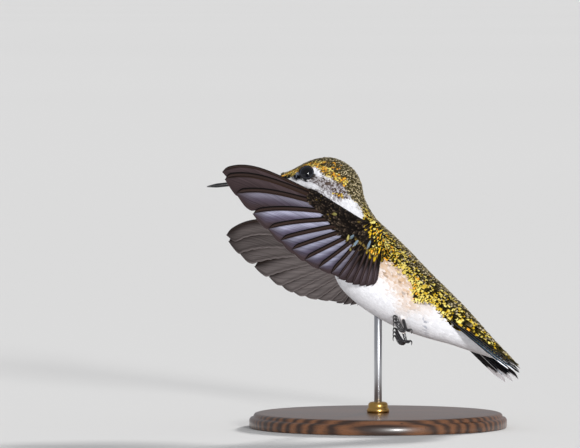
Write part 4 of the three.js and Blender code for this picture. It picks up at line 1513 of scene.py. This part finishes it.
def tail_feathers(material):
    part = Part()
    for seed in range(2 * TAIL_PAIRS):
        c = seed - TAIL_PAIRS + 0.5
        outward = 1.0 if c > 0 else -1.0
        level = TAIL_LAYER * (TAIL_PAIRS / 2 - abs(c)) + 0.05 * outward
        add_quill(
            part, partial(tail_shaft, abs(c)), partial(tail_lay, outward), TAIL_WIDTHS, TAIL_CUT, TAIL_TILT,
            level, TailColours(abs(c) + 0.5), seed, 2 * TAIL_PAIRS,
        )
    return ride(part.make("tail_feathers", material), "flight_feathers", "tail")


# ---- bill, eyes and feet


BILL_TAPER = 2.6  # how fast the bill thins from its root
BILL_TIP_FROM = 0.87  # where its tip begins to narrow, of its length
BILL_TIP_NARROWING = 0.86
BILL_STEPS, BILL_ARC = 60, 20
BILL_GAP = 0.1  # between its halves
BILL_CLOSING = 0.02  # how far each half's flat side bulges into the gap


def hump(x, centre, width):
    return np.exp(-(((x - centre) / width) ** 2))


def bill_half(half, material):
    """The upper (1) or lower (-1) half of the bill: a ridged half-round that tapers to the tip."""
    root, tip = np.array(BILL["root"]), np.array(BILL["tip"])
    axis = np.array([tip[0] - root[0], 0, tip[1] - root[1]])
    up = unit(np.array([-axis[2], 0, axis[0]])) * -half
    t = np.linspace(0, 1, BILL_STEPS)[:, None]
    taper = np.exp(-BILL_TAPER * t)
    narrow = np.clip((t - BILL_TIP_FROM) / (1 - BILL_TIP_FROM), 0, 1) ** 1.4
    end = 1 - BILL_TIP_NARROWING * narrow
    depth, width = (
        (BILL["tip_radius"] + (BILL[key] - BILL["tip_radius"]) * taper) * end for key in ("depth", "width")
    )
    angle = np.linspace(0, np.pi, BILL_ARC + 1)[None]
    groove = 1 - 0.12 * hump(np.abs(np.cos(angle)), 0.72, 0.12) * ramp(t, 0.55, 0.1)
    ridge = 1 + 0.05 * hump(angle, np.pi / 2, 0.25) * ramp(t, 0.7, 0.1)
    across, lift = width * np.cos(angle) * groove, depth * np.sin(angle) * groove * ridge
    flat = width * np.linspace(-1, 1, 7)[None, 1:-1]
    across = np.concatenate([across, flat], axis=1)
    lift = np.concatenate([lift, np.full(flat.shape, -BILL_CLOSING)], axis=1) + BILL_GAP / 2
    centre = np.array([root[0], 0, root[1]]) + t[..., None] * axis
    rings = centre + lift[..., None] * up
    rings[..., 1] += across
    part = Part()
    part.add(*capped(rings))
    name = "upper" if half > 0 else "lower"
    return ride(part.make(f"beak_{name}", material), "bill", f"bill_{name}")


SIDES = (("left", np.array([1, 1, 1])), ("right", np.array([1, -1, 1])))  # for what is worked out on the left


def eye_frame():
    """The left eye's centre, the direction in which it looks, and two directions square to that."""
    centre = np.array(EYE["at"]) * [1, -1, 1]
    _, normal = on_body(centre + [0, -2.0, 0])
    look = unit(normal * np.sign(-normal[1]) * [0.3, 1, 1])
    return centre, look, *square_to(look, [0, 0, 1.0])


EYE_STEPS, EYE_SIDES = 48, 64
PUPIL = (0.34, 0.38)  # angles from the axis over which the pupil ends and the iris begins
IRIS_END = (0.74, 0.66)


def eye_pieces(material):
    """Dark eyes with a slightly bulging front; the pupil can just be told from the iris."""
    centre, look, side, up = eye_frame()
    polar = np.linspace(0.04, np.pi - 0.04, EYE_STEPS)
    turn = np.linspace(0, 2 * np.pi, EYE_SIDES, endpoint=False)[None, :, None]
    colour = layered(BLACK * 0.3, polar, (IRIS, ramp(polar, *PUPIL) * ramp(polar, *IRIS_END)))
    colour = np.concatenate([np.repeat(colour, EYE_SIDES, 0), np.zeros((2, 3))])
    polar = polar[:, None, None]
    radius = EYE["r"] * (1 + 0.02 * np.exp(-((polar / 0.5) ** 2)))
    direction = look * np.cos(polar) + circle(side, up, turn) * np.sin(polar)
    points, quads, tris = capped(centre + radius * direction)
    for name, mirror in SIDES:
        part = Part()
        part.add(points * mirror, quads, tris, Col=colour)
        ride(part.make(f"eyeball_{name}", material), "eye", f"eye_{name}")


# Radius, thickness, height over the eye's centre, beading and colour of each ring of the lids.
LIDS = [
    (1.42, 0.05, 1.28, 0.1, srgb(60, 64, 80)),
    (1.5, 0.07, 1.26, 0.35, srgb(24, 25, 31)),
    (1.61, 0.09, 1.22, 0.35, srgb(12, 12, 15)),
]
LID_BEADS = 24


def lid_ring(radius, thick, height, bumps):
    """A lid's margin as a beaded ring round the left eye."""
    centre, look, side, up = eye_frame()
    turns, sides = 96, 10
    turn = np.linspace(0, 2 * np.pi, turns, endpoint=False)[:, None, None]
    around = np.linspace(0, 2 * np.pi, sides, endpoint=False)[None, :, None]
    r = thick * (1 + bumps * np.abs(np.sin(LID_BEADS / 2 * turn)))
    outward = circle(side, up, turn)
    points = centre + outward * (radius + r * np.cos(around)) + look * (height + r * np.sin(around))
    quads = grid_quads(turns + 1, sides, closed=True) % (turns * sides)
    return points.reshape(-1, 3), quads


def lids(material):
    for name, mirror in SIDES:
        part = Part()
        for *shape, colour in LIDS:
            points, quads = lid_ring(*shape)
            part.add(points * mirror, quads, Col=colour)
        ride(part.make(f"lids_{name}", material), "plumage")


FRINGE = ((1.64, 38), (1.85, 44))  # radius of each ring of the fringe and its number of feathers
FRINGE_LENGTH = 0.56
FRINGE_HALF_WIDTH = 0.2


def eye_fringe(material):
    """Tiny feathers round the lids, lying away from the eye and tailwards."""
    centre, look, side, up = eye_frame()
    part = Part()
    for radius, count in FRINGE:
        turn = 2 * np.pi * (np.arange(count) + rng.normal(0, 0.15, count)) / count
        outward = circle(side, up, turn[:, None])
        root = centre + look * 1.15 + outward * radius
        lie = unit(outward * 0.8 + np.array([0.6, 0, -0.25]))
        length = FRINGE_LENGTH * rng.normal(1, 0.1, count)
        u = VANE_ALONG[None, :, None]
        spine = root[:, None] + lie[:, None] * length[:, None, None] * u
        surface, normal = on_body(spine)
        above = ((spine - surface) * normal).sum(axis=-1, keepdims=True)
        spine = spine + normal * (0.02 - 0.12 * (1 - u) - above) * u
        nearest, _ = nearest_on_body(root + outward * 0.3)
        marks = body_markings(SAMPLE_S[nearest], SAMPLE_ANGLE[nearest])
        place = pairs(0.1 + 0.01 * turn, 0.95 + 0.01 * radius)
        for _, mirror in SIDES:
            add_vanes(part, spine * mirror, normal * mirror, FRINGE_HALF_WIDTH, marks, place)
    ride(part.make("coat_eye_fringe", material), "plumage")


# Name, shift of the joints and mirroring of each leg.
LEGS = (("left", np.zeros(3), np.array([1, -1, 1])), ("right", RIGHT_LEG_SHIFT, np.array([1, 1, 1])))
SHANK_STEPS, TOE_STEPS, CLAW_STEPS = 60, 44, 24


def scuted(steps, scutes, depth):
    """How much thicker a shank or toe is along its length, for a number of scutes."""
    return 1 + depth * np.abs(np.sin(np.linspace(0, scutes * np.pi, steps)))


def toe_joints(joints, k, shift, mirror):
    """Joints of the toe that is k steps out from the inner one."""
    spread = [[x, y + k * TOE_SIDE_STEP, z - k * TOE_DROP_STEP * drop] for x, y, z, drop in joints]
    return (LEG_JOINTS[2] + shift + spread) * mirror


def leg_pieces(material, claw_material):
    for name, shift, mirror in LEGS:
        part, claws = Part(), Part()
        shank = curve_through((LEG_JOINTS + shift) * mirror, SHANK_STEPS)
        radii = smooth(SHANK_RADII, np.linspace(0, 2, SHANK_STEPS))
        part.add(*tube(shank, radii * scuted(SHANK_STEPS, 14, 0.06), 14))
        for toe, claw, k in [(FRONT_TOE, FRONT_CLAW, k) for k in range(3)] + [(HIND_TOE, HIND_CLAW, 0)]:
            path = curve_through(toe_joints(toe, k, shift, mirror), TOE_STEPS)
            part.add(*tube(path, np.linspace(0.33, 0.25, TOE_STEPS) * scuted(TOE_STEPS, 8, 0.24), 12))
            path = curve_through(toe_joints(claw, k, shift, mirror), CLAW_STEPS)
            claws.add(*tube(path, 0.03 + 0.2 * (1 - np.linspace(0, 1, CLAW_STEPS)) ** 0.7, 10, 1.2))
        ride(part.make(f"foot_{name}", material), "feet", f"leg_{name}")
        ride(claws.make(f"claws_{name}", claw_material), "feet")


CUFF_FEATHERS = 96
CUFF_HALF_WIDTH = 0.3


def thigh_feathers(material):
    """A cuff of short white feathers round each shank, where it leaves the belly."""
    part = Part()
    for _, shift, mirror in LEGS:
        _, heel, foot = (LEG_JOINTS + shift) * mirror
        axis = unit(foot - heel)
        side, up = square_to(axis, [0.2, 0.1, 1.0])
        shank = heel + (foot - heel) * np.linspace(0, 1, SHANK_STEPS)[:, None]
        surface, out = on_body(shank)
        start = shank[np.argmax(((shank - surface) * out).sum(axis=1) > 0)] - 1.4 * axis
        turn = np.arange(CUFF_FEATHERS) * 2.4
        depth = np.arange(CUFF_FEATHERS)[:, None] / CUFF_FEATHERS
        outward = circle(side, up, turn[:, None])
        root = start + axis * (1.5 * depth) + outward * (0.85 - 0.4 * depth)
        lie = axis * 1.3 - outward * 0.25
        spine = root[:, None] + lie[:, None] * VANE_ALONG[None, :, None]
        marks = Marks(CUFF_FEATHERS)
        tone = mix(WHITE, BUFF, 0.5 * marks.shade)
        marks.paint(1.0, tone * 0.9, tone)
        normal = np.broadcast_to(outward[:, None], spine.shape)
        add_vanes(part, spine, normal, CUFF_HALF_WIDTH, marks, pairs(0.6 + 0.001 * turn, 0.9))
    ride(part.make("coat_thighs", material), "plumage")


# ---- stand, floor, light and camera


def turned(name, profile, material, slot, node_name, segments=128):
    """A lathe-turned piece from a profile of radii and heights in millimetres that starts and ends inside."""
    profile = np.array(profile, float)
    turn = 2 * np.pi * np.arange(segments) / segments
    ring = np.stack([np.cos(turn), np.sin(turn)], axis=-1)
    points = np.zeros((len(profile), segments, 3))
    points[..., :2] = profile[:, None, :1] * ring[None]
    points[..., 2] = profile[:, None, 1]
    part = Part()
    part.add(*capped(points))
    piece = part.make(name, material, body_frame=False)
    return ride(piece, slot, node_name)


BASE_PROFILE = [
    (0.5, 0.0), (29.4, 0.0), (29.9, 0.15), (30.0, 0.6), (30.0, 1.9), (29.7, 2.35), (29.2, 2.5), (29.0, 2.7),
    (28.95, 3.0), (28.7, 3.3), (28.2, 3.46), (27.5, 3.5), (0.5, 3.5),
]
COLLAR_PROFILE = [
    (0.91, 3.52), (2.5, 3.52), (2.6, 3.62), (2.6, 4.3), (2.45, 4.5), (2.3, 4.6), (2.3, 5.2), (2.2, 5.6),
    (1.9, 5.9), (1.5, 6.0), (0.91, 6.0),
]


def add_stand():
    wood, steel = wood_material(), metal_material("stand_steel", srgb(196, 198, 202), (3000, 3000, 60), 0.32)
    brass = metal_material("stand_brass", srgb(206, 164, 92), (200, 200, 4000), 0.28)
    turned("base", BASE_PROFILE, wood, "stand_wood", "stand_base")
    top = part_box("stand_rod")[1][2] / MM
    rod = [(0.7, 1.3), (0.9, 1.5), (0.9, top - 0.2), (0.7, top)]
    turned("rod", rod, steel, "stand_steel", "stand_rod", 48)
    turned("collar", COLLAR_PROFILE, brass, "stand_brass", "stand_collar", 64)


def add_floor():
    part = Part()
    reach = 70000.0
    corners = [[-reach, -reach, 0], [reach, -reach, 0], [reach, reach, 0], [-reach, reach, 0]]
    part.add(corners, [[0, 1, 2, 3]])
    material, tree, shader = new_material("floor", 0.9, Specular_IOR_Level=0.2)
    clouds = noise(tree, 40.0, 2.0)
    add_colour(tree, shader, blend(tree, clouds, rgba(srgb(218, 217, 215)), rgba(srgb(223, 222, 220))))
    part.make("floor", material, body_frame=False)


def add_light(name, at, power, size, glossy):
    """A distant lamp aimed at the bird; size is its width in degrees and glossy whether it reflects."""
    light = bpy.data.lights.new(name, "SUN")
    light.energy = power
    light.angle = math.radians(size)
    lamp = bpy.data.objects.new(name, light)
    lamp.location = Vector(at) * MM
    lamp.rotation_euler = (Vector(CAMERA["aim"]) - Vector(at)).to_track_quat("-Z", "Y").to_euler()
    lamp.visible_glossy = glossy
    bpy.context.scene.collection.objects.link(lamp)


def add_lights():
    add_light("key", (420, -1500, 330), 2.3, 7, True)
    add_light("fill", (-500, -1500, 90), 1.2, 20, False)
    add_light("rim", (750, 1500, 620), 4.8, 8, False)
    world = bpy.data.worlds.new("studio")
    bpy.context.scene.world = world
    world.use_nodes = True
    world.node_tree.nodes["Background"].inputs[0].default_value = (0.93, 0.95, 1.0, 1)
    world.node_tree.nodes["Background"].inputs[1].default_value = 0.4


def add_camera():
    elevation = math.radians(CAMERA["elevation"])
    back = Vector((0, -math.cos(elevation), math.sin(elevation)))
    data = bpy.data.cameras.new("camera")
    data.sensor_width = 36.0
    data.lens = data.sensor_width * CAMERA["distance"] / CAMERA["view_width"]
    data.clip_start, data.clip_end = 0.05, 200.0
    camera = bpy.data.objects.new("camera", data)
    camera.location = (Vector(CAMERA["aim"]) + back * CAMERA["distance"]) * MM
    camera.rotation_euler = (-back).to_track_quat("-Z", "Y").to_euler()
    bpy.context.scene.collection.objects.link(camera)
    bpy.context.scene.camera = camera


# ---- the model

add_camera()
add_lights()
add_floor()
plumage, quills = plumage_material("plumage", metallic=0.25), flight_material()
ride(
    skin_piece(skin_material()), "plumage",
    "head", "neck", "trunk", "tail_coverts_upper", "tail_coverts_lower",
    "wing_left_arm", "wing_left_hand", "wing_right_arm", "wing_right_hand",
)
coat_pieces(plumage)
for wing_side in ("left", "right"):
    wing_feathers(wing_side, quills)
    wing_coverts(wing_side, plumage)
tail_feathers(quills)
horn = horn_material("horn", srgb(8, 8, 9), srgb(26, 25, 27), 1500.0, 0.3)
bill_half(1, horn)
bill_half(-1, horn)
eye_pieces(eye_material())
lids(skin_material())
eye_fringe(plumage)
leg_pieces(horn_material("foot_scales", srgb(10, 9, 10), srgb(48, 46, 50), 2200.0, 0.2), horn)
thigh_feathers(plumage)
add_stand()
bpy.context.scene.view_settings.view_transform = "Standard"
